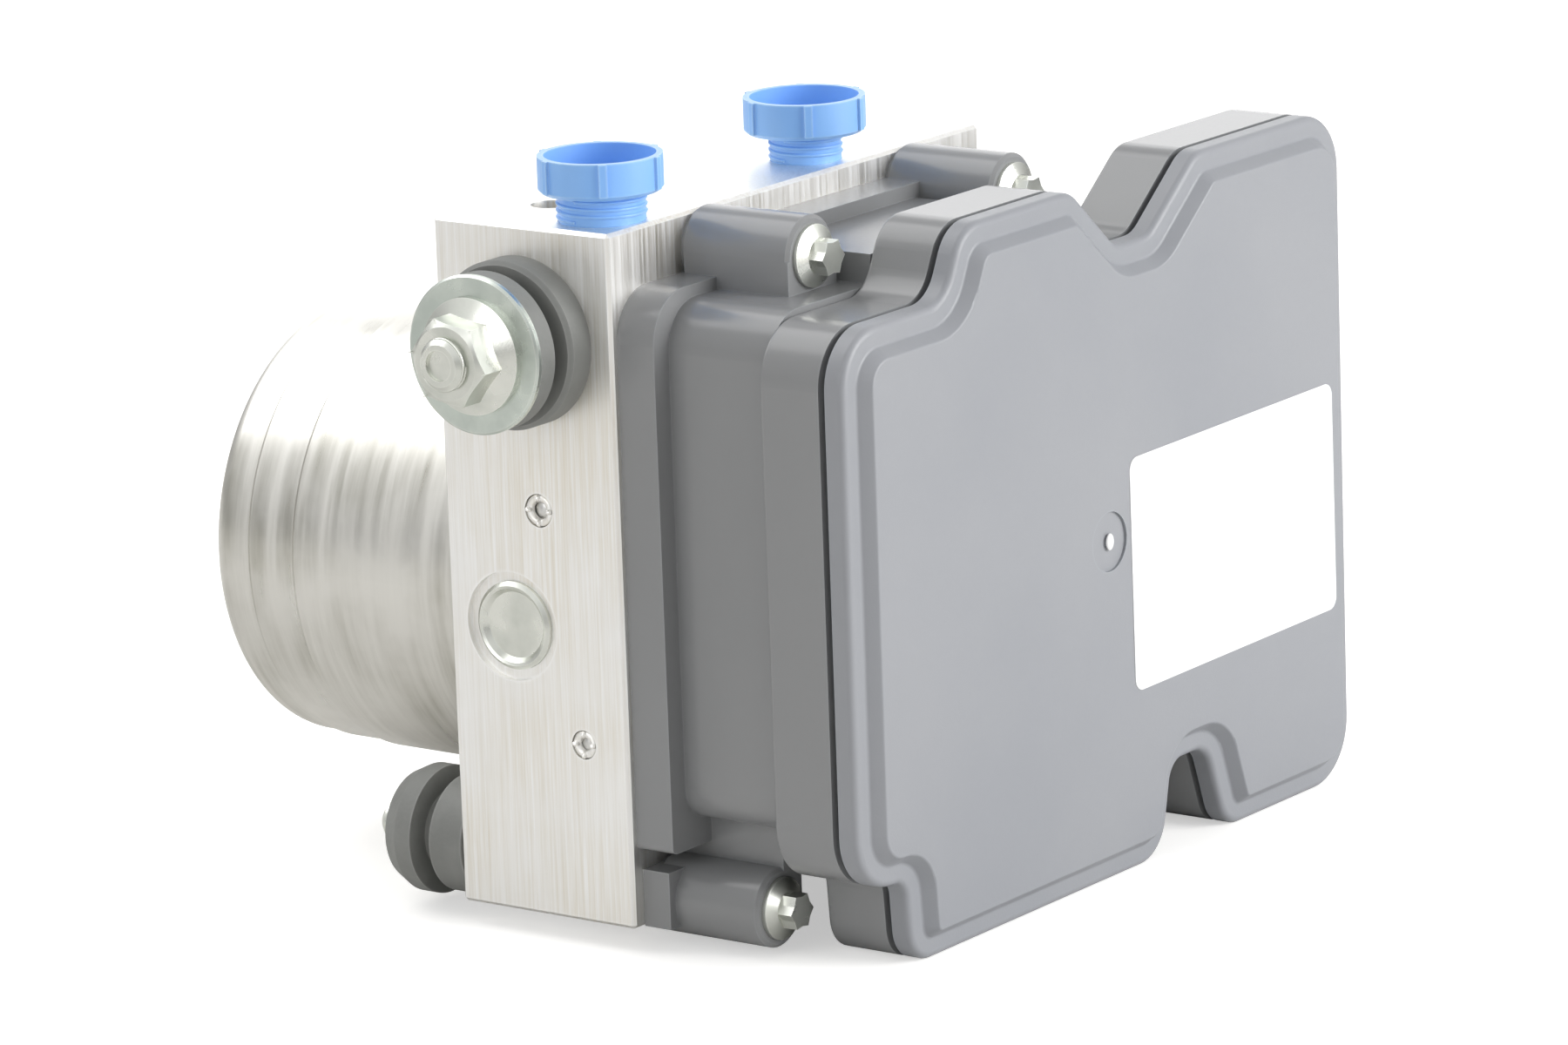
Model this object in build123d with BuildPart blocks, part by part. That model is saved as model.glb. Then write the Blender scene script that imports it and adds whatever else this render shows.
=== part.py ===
from build123d import *
import os
from math import cos, radians, sin

# An anti-lock brake hydraulic unit: a machined valve block with the pump motor on its back and the
# electronic control unit on its front. X runs along the cover's width, Y from the cover to the motor
# and Z up. The origin is the middle of the unit's outer box, at the level it stands on.

os.makedirs("parts", exist_ok=True)

# Valve block
block_width = 87.0
block_depth = 29.5
block_height = 96.0
block_edge = 0.5

# Clearances, each on the radius or on one face
running_clearance = 0.05
press_clearance = 0.02
face_clearance = 0.3

# Control unit, measured from the block's left, bottom and front faces
cover_inset = 1.6
cover_overhang = 37.3
cover_drop = 3.3
cover_top_inset = 1.0
rim_depth = 6.1
chamber_depth = 16.8
tray_depth = 9.6
seam_gap = 1.0
cover_depth = 3.0
panel_raise = 1.85
tray_wall = 2.2
tongue_wall = 1.4
cover_face_wall = 1.8
cover_edge_radius = 1.0
panel_inset = 2.9
panel_taper = 37
panel_edge_radius = 0.4
panel_foot_radius = 0.6
panel_pocket_inset = 4.8
tray_edge_radius = 0.6
gate_radius = 4.2
gate_nub_radius = 0.8
gate_depth = 0.4
gate_x = 60.5
gate_z = 45.4

# Bends of the cover's outline: how far each stands from the screw tube that it clears, at the low and
# the high end of its slope
first_step_low = 4.3
first_step_high = 9.0
valley_left_high = 12.6
valley_left_low = 1.9
valley_right_low = 6.0
valley_right_high = 18.4
foot_step_right = 3.4
foot_step_left = 4.4
foot_step_rise = 5.5
notch_left_low = 5.3
notch_left_high = 2.4
notch_right_high = 6.4
notch_right_low = 11.0
notch_rise = 6.3

# Screw tubes of the control unit and their screws, from the block's nearer sides, top and bottom
tube_radius = 5.5
tube_length = 18.0
tube_neck_radius = 5.0
tube_neck_length = 0.8
tube_edge = 0.5
screw_room = 1.0
upper_tube_left = 21.2
upper_tube_right = 18.1
upper_tube_drop = 5.0
lower_tube_left = 9.0
lower_tube_right = 6.8
lower_tube_rise = 3.4
screw_radius = 2.5
screw_depth = 11.0
screw_flange_radius = 4.3
screw_flange_edge = 0.6
screw_flange_height = 1.4
screw_head_radius = 2.6
screw_head_root = 2.05
screw_head_height = 3.6
screw_lobes = 6

# Seal rim and coil chamber of the control unit housing
rim_inset = 1.2
rim_bottom = 11.0
rim_drop = 8.0
rim_middle_drop = 3.5
rim_radius = 7.0
rim_low_radius = 1.0
chamber_inset = 4.4
chamber_bottom = 14.7
chamber_drop = 9.7
chamber_middle_drop = 5.6
chamber_radius = 6.5
chamber_low_radius = 5.0
coil_space_radius = 4.0
chamber_wall = 3.0
chamber_floor = 2.5
foot_inset = 2.3
foot_depth = 4.4
foot_top = 8.0
rib_width = 4.0
rib_shift = 3.0
seal_width = 1.4
seal_depth = 0.8
seal_inset = 4.4
window_height = 2.4

# Connector on the back of the overhang
socket_width = 23.0
socket_height = 46.0
socket_depth = 22.0
socket_wall = 2.0
socket_radius = 3.5
socket_low = 12.0
socket_floor = 3.0
key_width = 3.0
key_height = 1.2
contact_columns = 3
contact_rows = 10
contact_spacing_x = 4.0
contact_spacing_z = 3.4
contact_size = 0.8
contact_length = 14.0
contact_rise = 4.5
blade_width = 6.0
blade_thickness = 0.8
blade_drop = 14.0
blade_spacing = 3.8

# Circuit board
board_thickness = 1.6
board_gap = 1.4
board_boss_radius = 2.4
left_bosses = [(9.0, 30.0), (43.5, 6.0), (43.5, 88.0)]
right_bosses = [(24.3, 88.0), (11.3, 6.0)]
left_chips = [(26.0, 36.0, 16.0, 1.6), (52.0, 30.0, 12.0, 2.4)]
right_chips = [(26.3, 30.0, 9.0, 1.6), (20.3, 62.0, 11.0, 5.0)]
right_capacitors = [(26.3, 78.0), (14.3, 78.0)]
capacitor_radius = 4.5

# Solenoid valves: two rows of four
valve_columns = 4
valve_spacing_z = 17.0
valve_drop = 21.0
coil_room = 1.6
cartridge_radius = 4.5
cartridge_depth = 12.0
collar_radius = 5.4
collar_depth = 1.4
sleeve_radius = 3.2
sleeve_wall = 0.5
inlet_sleeve_length = 17.0
outlet_sleeve_length = 15.5
seat_radius = 0.7
seat_length = 4.0
armature_length = 8.5
needle_radius = 1.0
valve_stroke = 0.4
coil_side = 15.0
coil_length = 14.0
coil_pin_size = 0.8
coil_pin_pitch = 9.0

# Pump bore, its closing plugs, sleeves, pistons and springs
pump_height = 40.2
pump_depth = 18.9
caulk_radius = 7.6
caulk_depth = 0.9
pump_plug_radius = 6.15
pump_plug_length = 6.5
pump_plug_dish = 4.6
pump_plug_dish_depth = 0.9
pump_bore_radius = 5.2
piston_radius = 3.2
piston_length = 13.0
pump_sleeve_length = 9.0
eccentric_throw = 1.0
pump_spring_wire = 0.9
pump_spring_radius = 2.4
pump_spring_turns = 4

# Motor
motor_radius = 32.5
motor_length = 52.5
motor_wall = 1.8
motor_end_room = 3.0
motor_edge = 3.0
ring_step = 0.4
first_ring = 7.6
second_ring = 15.9
end_plate_thickness = 3.0
end_plate_hole = 9.0
rear_boss_radius = 10.0
rear_boss_height = 3.0
magnet_thickness = 4.2
magnet_overhang = 3.0
magnet_angle = 70.0
magnet_count = 4
core_radius = 25.6
core_slots = 10
slot_width = 4.0
slot_depth = 10.0
winding_clearance = 0.2
winding_bulge = 4.5
commutator_radius = 9.0
commutator_length = 8.0
commutator_start = 6.5
shaft_radius = 4.0
eccentric_radius = 5.2
ring_bearing_radius = 8.0
ring_bearing_length = 8.0
motor_bore_radius = 12.0
motor_bore_depth = 21.5
nose_radius = 3.0
nose_length = 3.5
front_bearing_length = 6.0
rear_bearing_radius = 8.0
rear_bearing_length = 6.0
brush_side = 5.0
brush_length = 12.0
brush_box_wall = 1.2
holder_thickness = 2.5
holder_radius = 28.0
motor_screw_radius = 2.0
motor_screw_circle = 26.0
motor_screw_angles = [-90, 18, 162]
motor_screw_head_radius = 3.6
motor_screw_head_height = 2.4
terminal_size = 1.6
terminal_hole_radius = 2.4
terminal_drop = 18.5
terminal_spacing = 8.0

# Low pressure accumulators in the block's bottom face
store_bore_radius = 9.5
store_bore_depth = 20.0
store_spacing = 36.0
store_cap_length = 4.0
store_piston_length = 6.0
store_pocket_radius = 7.2
store_pocket_depth = 3.0
store_spring_radius = 6.0
store_spring_wire = 1.3
store_spring_turns = 3

# Ports and their plugs: the inlet port takes an M12 tube nut and the wheel ports M10
inlet_port_radius = 6.0
wheel_port_radius = 5.0
port_depth = 10.0
port_y = 7.2
inlet_port_left = 8.5
wheel_port_right = 31.7
side_ports = [(8.9, 77.0), (20.6, 63.4), (8.9, 49.8), (14.75, 16.0)]
plug_cap_radius = 8.5
plug_cap_height = 5.0
plug_cap_lift = 4.0
plug_lip = 0.9
plug_floor = 1.4
plug_wall = 1.2
plug_insert = 6.0
plug_ribs = 6
plug_rib_width = 1.1
plug_rib_height = 0.4
plug_rib_angle = 39.3
tapped_hole_radius = 2.8
tapped_hole_depth = 7.0
tapped_hole_x = 13.6
tapped_hole_y = 19.8

# Cross drillings in the left face and the balls that seal them
upper_ball_y = 13.5
upper_ball_z = 56.9
upper_ball_radius = 2.3
lower_ball_y = 7.4
lower_ball_z = 25.0
lower_ball_radius = 2.0
ball_sink = 0.6
drilling_radius = 1.5
drilling_length = 40.0

# Side mount on the left face
side_mount_y = 15.0
side_mount_drop = 15.7
stud_radius = 3.5
stud_depth = 10.0
bush_seat_radius = 11.6
bush_seat_width = 4.4
bush_seat_edge = 0.6
bush_groove_radius = 7.8
bush_groove_width = 2.0
bush_flange_radius = 10.8
bush_flange_width = 3.5
bush_flange_edge = 0.5
washer_radius = 10.9
washer_thickness = 0.9
washer_edge = 0.3
nut_flange_radius = 8.0
nut_flange_rim = 0.8
nut_flange_height = 2.0
nut_width = 10.8
nut_height = 6.0
nut_corner = 0.8
nut_turn = 9
stud_tip = 1.5
stud_tip_taper = 0.6
stud_tip_radius = 2.9
stud_cup_radius = 2.1
stud_cup_depth = 0.5

# Lower mounts on the back face
lower_mount_x = 8.0
lower_mount_z = 7.1
pin_radius = 3.0
pin_depth = 9.0
pin_tip = 5.2
pin_tip_taper = 1.0
lower_seat_radius = 8.2
lower_seat_width = 5.5
lower_groove_radius = 5.6
lower_groove_width = 2.8
lower_flange_radius = 9.0
lower_flange_width = 5.2
lower_flange_taper = 2.5
lower_flange_slope = 1.2

# Label
label_right = 6.2
label_low = 23.0
label_width = 52.3
label_height = 33.2
label_radius = 1.8
label_thickness = 0.12
label_turn = 0.5

# Places that follow from those sizes
ecu_depth = rim_depth + chamber_depth + tray_depth + seam_gap + cover_depth + panel_raise + label_thickness
bush_length = bush_seat_width + bush_groove_width + bush_flange_width
side_mount_reach = bush_length + washer_thickness + nut_height + stud_tip
unit_back = motor_length + rear_boss_height

block_left = (side_mount_reach - block_width - cover_overhang) / 2
block_right = block_left + block_width
block_middle = block_left + block_width / 2
cover_right_x = block_right + cover_overhang
block_front = (ecu_depth - block_depth - unit_back) / 2
block_back = block_front + block_depth
block_bottom = cover_drop
block_top = block_bottom + block_height

rim_front = block_front - rim_depth
tray_back = rim_front - chamber_depth
tray_front = tray_back - tray_depth
cover_back = tray_front - seam_gap
cover_front = cover_back - cover_depth
panel_front = cover_front - panel_raise
tray_floor = tray_back - chamber_floor
board_back = tray_floor - board_gap
board_front = board_back - board_thickness
tube_front = block_front - tube_length

motor_x = block_middle
motor_z = block_bottom + pump_height
pump_y = block_front + pump_depth
can_end = block_back + motor_length

upper_tube_z = block_top - upper_tube_drop
lower_tube_z = block_bottom + lower_tube_rise
first_upper_tube = (block_left + upper_tube_left, upper_tube_z)
second_upper_tube = (block_right - upper_tube_right, upper_tube_z)
first_lower_tube = (block_left + lower_tube_left, lower_tube_z)
second_lower_tube = (block_right - lower_tube_right, lower_tube_z)
tubes = [first_upper_tube, second_upper_tube, first_lower_tube, second_lower_tube]

valve_row_first = block_left + chamber_inset + chamber_wall + coil_room + coil_side / 2
valve_spacing_x = 2 * (block_middle - valve_row_first) / (valve_columns - 1)
valve_xs = [valve_row_first + n * valve_spacing_x for n in range(valve_columns)]
inlet_places = [(x, block_top - valve_drop) for x in valve_xs]
outlet_places = [(x, block_top - valve_drop - valve_spacing_z) for x in valve_xs]

store_y = block_front + block_depth / 2
store_xs = [block_middle - store_spacing / 2, block_middle + store_spacing / 2]
pin_xs = [block_left + lower_mount_x, block_right - lower_mount_x]
pin_z = block_bottom + lower_mount_z
inlet_port_x = block_left + inlet_port_left
wheel_port_x = block_right - wheel_port_right
motor_screw_offsets = [
    (motor_screw_circle * cos(radians(angle)), motor_screw_circle * sin(radians(angle)))
    for angle in motor_screw_angles
]
motor_screw_places = [(motor_x + across, motor_z + rise) for across, rise in motor_screw_offsets]
board_boss_places = [(block_left + x, block_bottom + z) for x, z in left_bosses]
board_boss_places += [(cover_right_x - x, block_bottom + z) for x, z in right_bosses]
terminal_z = motor_z - terminal_drop
terminal_xs = [motor_x - terminal_spacing / 2, motor_x + terminal_spacing / 2]

left, right = (-1, 0, 0), (1, 0, 0)
forward, backward = (0, -1, 0), (0, 1, 0)
up = (0, 0, 1)


def save(piece, name):
    """Labels a finished piece and writes it."""
    piece.part.label = name
    export_step(piece.part, f"parts/{name}.step")


def facing_front(y):
    """The upright plane at y that looks towards the cover. Its sketches read X and Z."""
    return Plane.XZ.offset(-y)


def turned(origin, direction, outline):
    """A turned piece. Its outline is (distance along the axis, radius) from the origin."""
    normal = (0, 1, 0) if direction[1] == 0 else (0, 0, 1)
    with BuildPart() as piece:
        with BuildSketch(Plane(origin=origin, x_dir=direction, z_dir=normal)):
            with BuildLine():
                Polyline(*outline, close=True)
            make_face()
        revolve(axis=Axis(origin, direction))
    return piece


def bore(origin, direction, *steps):
    """The space of a stepped bore. Each step is (how deep it ends, its radius)."""
    outline = [(0, 0)]
    depth = 0
    for end, radius in steps:
        outline += [(depth, radius), (end, radius)]
        depth = end
    outline.append((depth, 0))
    return turned(origin, direction, outline).part


def coil_spring(origin, direction, radius, wire, turns, length):
    """A compression spring of square wire, bent in short straight runs."""
    flat_count = 10
    steps = turns * flat_count
    end_space = 0.7 * wire
    rise = (length - 2 * end_space) / steps
    normal = (0, 1, 0) if direction[1] == 0 else (0, 0, 1)
    seat = Plane(origin=origin, x_dir=normal, z_dir=direction)
    route = []
    for step in range(steps + 1):
        angle = radians(360 / flat_count * step)
        point = Vector(radius * cos(angle), radius * sin(angle), end_space + rise * step)
        route.append(seat.from_local_coords(point))
    with BuildPart() as spring:
        with BuildLine():
            path = Polyline(*route)
        with BuildSketch(Plane(origin=path @ 0, x_dir=direction, z_dir=path % 0)):
            Rectangle(wire, wire)
        sweep(path=path, transition=Transition.RIGHT)
    return spring


# The outline that the tray and the cover share, as (X, Z, corner radius). It steps down round the first
# upper screw tube, dips in a valley over the second, steps up round the first lower one and has a notch
# for the second.
cover_left_x = block_left + cover_inset
cover_high = block_top - cover_top_inset
cover_low = block_bottom - cover_drop
shelf = upper_tube_z - tube_radius
foot_shelf = lower_tube_z + foot_step_rise
notch_high = lower_tube_z + notch_rise
step_x, valley_x = first_upper_tube[0], second_upper_tube[0]
foot_x, notch_x = first_lower_tube[0], second_lower_tube[0]
outline_corners = [
    (cover_left_x, shelf, 8.0),
    (step_x + first_step_low, shelf, 6.0),
    (step_x + first_step_high, cover_high, 6.5),
    (valley_x - valley_left_high, cover_high, 5.0),
    (valley_x - valley_left_low, shelf, 5.0),
    (valley_x + valley_right_low, shelf, 5.0),
    (valley_x + valley_right_high, cover_high, 6.0),
    (cover_right_x, cover_high, 8.5),
    (cover_right_x, cover_low, 9.0),
    (notch_x + notch_right_low, cover_low, 5.0),
    (notch_x + notch_right_high, notch_high, 4.0),
    (notch_x - notch_left_high, notch_high, 3.5),
    (notch_x - notch_left_low, cover_low, 6.5),
    (foot_x + foot_step_left, cover_low, 5.0),
    (foot_x + foot_step_right, foot_shelf, 2.5),
    (cover_left_x, foot_shelf, 8.0),
]
with BuildSketch() as cover_outline:
    with BuildLine():
        FilletPolyline(
            *[(x, z) for x, z, radius in outline_corners],
            radius=[radius for x, z, radius in outline_corners],
            close=True,
        )
    make_face()

# Valve block: one machined aluminium block with every port, bore and drilling
with BuildPart() as valve_block:
    with BuildSketch(Plane.XY.offset(block_bottom)):
        with Locations((block_middle, (block_front + block_back) / 2)):
            Rectangle(block_width, block_depth)
    extrude(amount=block_height)
    chamfer(valve_block.edges(), block_edge)

    # Ports and a tapped hole in the top face
    with Locations(Plane.XY.offset(block_top)):
        with Locations((inlet_port_x, block_front + port_y)):
            Hole(inlet_port_radius, port_depth)
        with Locations((wheel_port_x, block_front + port_y)):
            Hole(wheel_port_radius, port_depth)
        with Locations((block_left + tapped_hole_x, block_front + tapped_hole_y)):
            Hole(tapped_hole_radius, tapped_hole_depth)

    # Wheel ports in the right face
    side_port_places = [(block_front + y, block_bottom + z) for y, z in side_ports]
    with Locations(Plane.YZ.offset(block_right)):
        with Locations(*side_port_places):
            Hole(wheel_port_radius, port_depth)

    # Pump bore, stepped at each end for its closing plug and the ring staked over it
    pump_mouth = [
        (caulk_depth, caulk_radius),
        (caulk_depth + pump_plug_length, pump_plug_radius + press_clearance),
        (block_width / 2, pump_bore_radius),
    ]
    for mouth_x, inward in ((block_left, right), (block_right, left)):
        add(bore((mouth_x, pump_y, motor_z), inward, *pump_mouth), mode=Mode.SUBTRACT)

    # Motor bore with the small bearing hole at its bottom
    motor_bore = [
        (motor_bore_depth, motor_bore_radius),
        (motor_bore_depth + nose_length, nose_radius + running_clearance),
    ]
    add(bore((motor_x, block_back, motor_z), forward, *motor_bore), mode=Mode.SUBTRACT)

    # Valve bores, stepped for the staked collars
    valve_bore = [
        (collar_depth, collar_radius + press_clearance),
        (cartridge_depth, cartridge_radius + press_clearance),
        (cartridge_depth + seat_length, drilling_radius),
    ]
    for x, z in inlet_places + outlet_places:
        add(bore((x, block_front, z), backward, *valve_bore), mode=Mode.SUBTRACT)

    # Accumulator bores in the bottom face
    for x in store_xs:
        add(bore((x, store_y, block_bottom), up, (store_bore_depth, store_bore_radius)), mode=Mode.SUBTRACT)

    # Screw holes: control unit, motor and lower mount pins, and the side mount's stud
    for x, z in tubes:
        hole = (screw_depth + face_clearance, screw_radius + press_clearance)
        add(bore((x, block_front, z), backward, hole), mode=Mode.SUBTRACT)
    for x, z in motor_screw_places:
        head = (motor_screw_head_height + face_clearance, motor_screw_head_radius + face_clearance)
        through = (block_depth, motor_screw_radius + press_clearance)
        add(bore((x, block_front, z), backward, head, through), mode=Mode.SUBTRACT)
    for x in pin_xs:
        hole = (pin_depth + face_clearance, pin_radius + press_clearance)
        add(bore((x, block_back, pin_z), forward, hole), mode=Mode.SUBTRACT)
    stud_hole = (stud_depth + face_clearance, stud_radius + press_clearance)
    stud_seat = (block_left, block_front + side_mount_y, block_top - side_mount_drop)
    add(bore(stud_seat, right, stud_hole), mode=Mode.SUBTRACT)

    # Motor terminals pass through the block
    for x in terminal_xs:
        hole = (block_depth, terminal_hole_radius)
        add(bore((x, block_front, terminal_z), backward, hole), mode=Mode.SUBTRACT)

    # Cross drillings, opened for their sealing balls
    balls = [
        (block_front + upper_ball_y, block_bottom + upper_ball_z, upper_ball_radius),
        (block_front + lower_ball_y, block_bottom + lower_ball_z, lower_ball_radius),
    ]
    for y, z, radius in balls:
        seat = (ball_sink + 2 * radius, radius + press_clearance)
        add(bore((block_left, y, z), right, seat, (drilling_length, drilling_radius)), mode=Mode.SUBTRACT)
save(valve_block, "valve_block")

# Sealing balls in the left face
with BuildPart() as sealing_balls:
    for y, z, radius in balls:
        with Locations((block_left + ball_sink + radius, y, z)):
            Sphere(radius)
save(sealing_balls, "sealing_balls")

# Pump bore closing plugs: shallow cups with a rounded rim, staked flush with the block
pump_plug_outline = [
    (pump_plug_dish_depth, 0),
    (pump_plug_dish_depth, pump_plug_dish),
    (0.2, pump_plug_dish + 0.6),
    (0, pump_plug_dish + 1.0),
    (0.45, pump_plug_radius),
    (caulk_depth + pump_plug_length, pump_plug_radius),
    (caulk_depth + pump_plug_length, 0),
]
pump_plug_left = turned((block_left, pump_y, motor_z), right, pump_plug_outline)
save(pump_plug_left, "pump_plug_left")
pump_plug_right = turned((block_right, pump_y, motor_z), left, pump_plug_outline)
save(pump_plug_right, "pump_plug_right")


def port_plug(port_radius):
    """A hollow plastic plug for a port: a ribbed cap on a thin-walled stem, open at the top."""
    stem = port_radius - running_clearance
    stem_hollow = stem - plug_wall
    cap_floor = plug_cap_lift + plug_floor
    cap_top = plug_cap_lift + plug_cap_height
    with BuildPart() as plug:
        with BuildSketch(Plane.XZ):
            with BuildLine():
                Polyline(
                    (0, -plug_insert),
                    (stem - 1.0, -plug_insert),
                    (stem, -plug_insert + 1.0),
                    (stem, plug_cap_lift - 0.6),
                    (stem + 0.6, plug_cap_lift),
                    (plug_cap_radius - 0.5, plug_cap_lift),
                    (plug_cap_radius, plug_cap_lift + 0.5),
                    (plug_cap_radius, cap_top),
                    (plug_cap_radius - plug_lip, cap_top),
                    (plug_cap_radius - plug_lip, cap_floor),
                    (stem_hollow, cap_floor),
                    (stem_hollow, plug_floor - plug_insert),
                    (0, plug_floor - plug_insert),
                    close=True,
                )
            make_face()
        revolve(axis=Axis.Z)
        with BuildSketch(Plane.XY.offset(plug_cap_lift + 0.5)):
            with PolarLocations(plug_cap_radius, plug_ribs, start_angle=plug_rib_angle):
                Rectangle(2 * plug_rib_height, plug_rib_width)
        extrude(amount=plug_cap_height - 0.5)
    return plug.part


# Port plugs in the top face
with BuildPart() as port_plug_inlet:
    with Locations((inlet_port_x, block_front + port_y, block_top)):
        add(port_plug(inlet_port_radius))
save(port_plug_inlet, "port_plug_inlet")
with BuildPart() as port_plug_wheel:
    with Locations((wheel_port_x, block_front + port_y, block_top)):
        add(port_plug(wheel_port_radius))
save(port_plug_wheel, "port_plug_wheel")

# The same plugs close the four wheel ports in the right face
with BuildPart() as side_port_plugs:
    with Locations(Plane.YZ.offset(block_right)):
        with Locations(*side_port_places):
            add(port_plug(wheel_port_radius))
save(side_port_plugs, "side_port_plugs")

# Side mount: stud, grooved rubber bush, washer and flange nut, along the stud from the block's face
side_stud = turned(
    stud_seat,
    left,
    [
        (-stud_depth, 0),
        (-stud_depth, stud_radius),
        (side_mount_reach - stud_tip_taper, stud_radius),
        (side_mount_reach, stud_tip_radius),
        (side_mount_reach, stud_cup_radius),
        (side_mount_reach - stud_cup_depth, stud_cup_radius),
        (side_mount_reach - stud_cup_depth, 0),
    ],
)
save(side_stud, "side_stud")
stud_hole_radius = stud_radius + running_clearance
groove_start = bush_seat_width
groove_end = bush_seat_width + bush_groove_width
side_bush = turned(
    stud_seat,
    left,
    [
        (0, stud_hole_radius),
        (0, bush_seat_radius),
        (bush_seat_width - bush_seat_edge, bush_seat_radius),
        (bush_seat_width, bush_seat_radius - bush_seat_edge),
        (groove_start, bush_groove_radius),
        (groove_end, bush_groove_radius),
        (groove_end, bush_flange_radius - bush_flange_edge),
        (groove_end + bush_flange_edge, bush_flange_radius),
        (bush_length, bush_flange_radius),
        (bush_length, stud_hole_radius),
    ],
)
save(side_bush, "side_bush")
side_washer = turned(
    stud_seat,
    left,
    [
        (bush_length, stud_hole_radius),
        (bush_length, washer_radius),
        (bush_length + washer_thickness - washer_edge, washer_radius),
        (bush_length + washer_thickness, washer_radius - washer_edge),
        (bush_length + washer_thickness, stud_hole_radius),
    ],
)
save(side_washer, "side_washer")
nut_seat = block_left - bush_length - washer_thickness
with BuildPart() as side_nut:
    # Flange with a sloped top
    add(
        turned(
            (nut_seat, stud_seat[1], stud_seat[2]),
            left,
            [
                (0, 0),
                (0, nut_flange_radius),
                (nut_flange_rim, nut_flange_radius),
                (nut_flange_height, nut_width / 2),
                (nut_flange_height, 0),
            ],
        ).part
    )
    # Hexagon, its outer corners turned off by a cone
    with BuildSketch(Plane.YZ.offset(nut_seat)):
        with Locations((stud_seat[1], stud_seat[2])):
            RegularPolygon(nut_width / 2, 6, major_radius=False, rotation=nut_turn)
    extrude(amount=-nut_height)
    corner_cone = turned(
        (nut_seat, stud_seat[1], stud_seat[2]),
        left,
        [
            (nut_height, nut_width / 2 - nut_corner / 2),
            (nut_height - nut_corner, nut_width / 2 + nut_corner),
            (nut_height, nut_width / 2 + nut_corner),
        ],
    )
    add(corner_cone.part, mode=Mode.SUBTRACT)
    hole = (nut_height, stud_radius + press_clearance)
    add(bore((nut_seat, stud_seat[1], stud_seat[2]), left, hole), mode=Mode.SUBTRACT)
save(side_nut, "side_nut")

# Lower mounts on the back face: a headless pin with a grooved rubber bush on each
lower_mount_length = lower_seat_width + lower_groove_width + lower_flange_width
pin_outline = [
    (-pin_depth, 0),
    (-pin_depth, pin_radius),
    (lower_mount_length + pin_tip - pin_tip_taper, pin_radius),
    (lower_mount_length + pin_tip, pin_radius - pin_tip_taper),
    (lower_mount_length + pin_tip, 0),
]
lower_groove_end = lower_seat_width + lower_groove_width
lower_bush_outline = [
    (0, pin_radius + running_clearance),
    (0, lower_seat_radius),
    (lower_seat_width, lower_seat_radius),
    (lower_seat_width, lower_groove_radius),
    (lower_groove_end, lower_groove_radius),
    (lower_groove_end, lower_flange_radius),
    (lower_mount_length - lower_flange_taper, lower_flange_radius),
    (lower_mount_length, lower_flange_radius - lower_flange_slope),
    (lower_mount_length, pin_radius + running_clearance),
]
for side, x in zip(("left", "right"), pin_xs):
    pin = turned((x, block_back, pin_z), backward, pin_outline)
    save(pin, f"lower_pin_{side}")
    bush = turned((x, block_back, pin_z), backward, lower_bush_outline)
    save(bush, f"lower_bush_{side}")

# Motor can: drawn steel with two shallow steps towards its closed end and a bearing cup there
inner_radius = motor_radius - motor_wall
end_radius = motor_radius - 2 * ring_step
rear_pocket = rear_bearing_radius + press_clearance
motor_seat = (motor_x, block_back, motor_z)
with BuildPart() as motor_can:
    add(
        turned(
            motor_seat,
            backward,
            [
                (0, inner_radius),
                (0, motor_radius),
                (motor_length - second_ring, motor_radius),
                (motor_length - second_ring + 0.6, motor_radius - ring_step),
                (motor_length - first_ring, motor_radius - ring_step),
                (motor_length - first_ring + 0.6, end_radius),
                (motor_length, end_radius),
                (motor_length, rear_boss_radius),
                (motor_length + rear_boss_height, rear_boss_radius),
                (motor_length + rear_boss_height, 0),
                (motor_length + rear_boss_height - motor_wall, 0),
                (motor_length + rear_boss_height - motor_wall, rear_pocket),
                (motor_length - motor_wall, rear_pocket),
                (motor_length - motor_wall, inner_radius),
            ],
        ).part
    )
    can_edge = motor_can.edges().filter_by(GeomType.CIRCLE).filter_by_position(
        Axis.Y, can_end - 0.01, can_end + 0.01
    )
    fillet(can_edge.sort_by(SortBy.RADIUS)[-1], motor_edge)
    boss_edge = motor_can.edges().filter_by(GeomType.CIRCLE).sort_by(Axis.Y)[-1]
    fillet(boss_edge, 1.2)
save(motor_can, "motor_can")


def motor_plane(distance):
    """The plane across the motor's axis, at a distance behind the block, looking back."""
    origin = (motor_x, block_back + distance, motor_z)
    return Plane(origin=origin, x_dir=(-1, 0, 0), z_dir=backward)


# Motor end plate, brush holder and brushes
with BuildPart() as motor_end_plate:
    with BuildSketch(motor_plane(0)):
        Circle(inner_radius - press_clearance)
        Circle(end_plate_hole, mode=Mode.SUBTRACT)
        with Locations(*motor_screw_offsets):
            Circle(motor_screw_radius + press_clearance, mode=Mode.SUBTRACT)
        with Locations((0, -terminal_drop)):
            with GridLocations(terminal_spacing, 1, 2, 1):
                Circle(terminal_hole_radius, mode=Mode.SUBTRACT)
    extrude(amount=end_plate_thickness)
save(motor_end_plate, "motor_end_plate")

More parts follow.
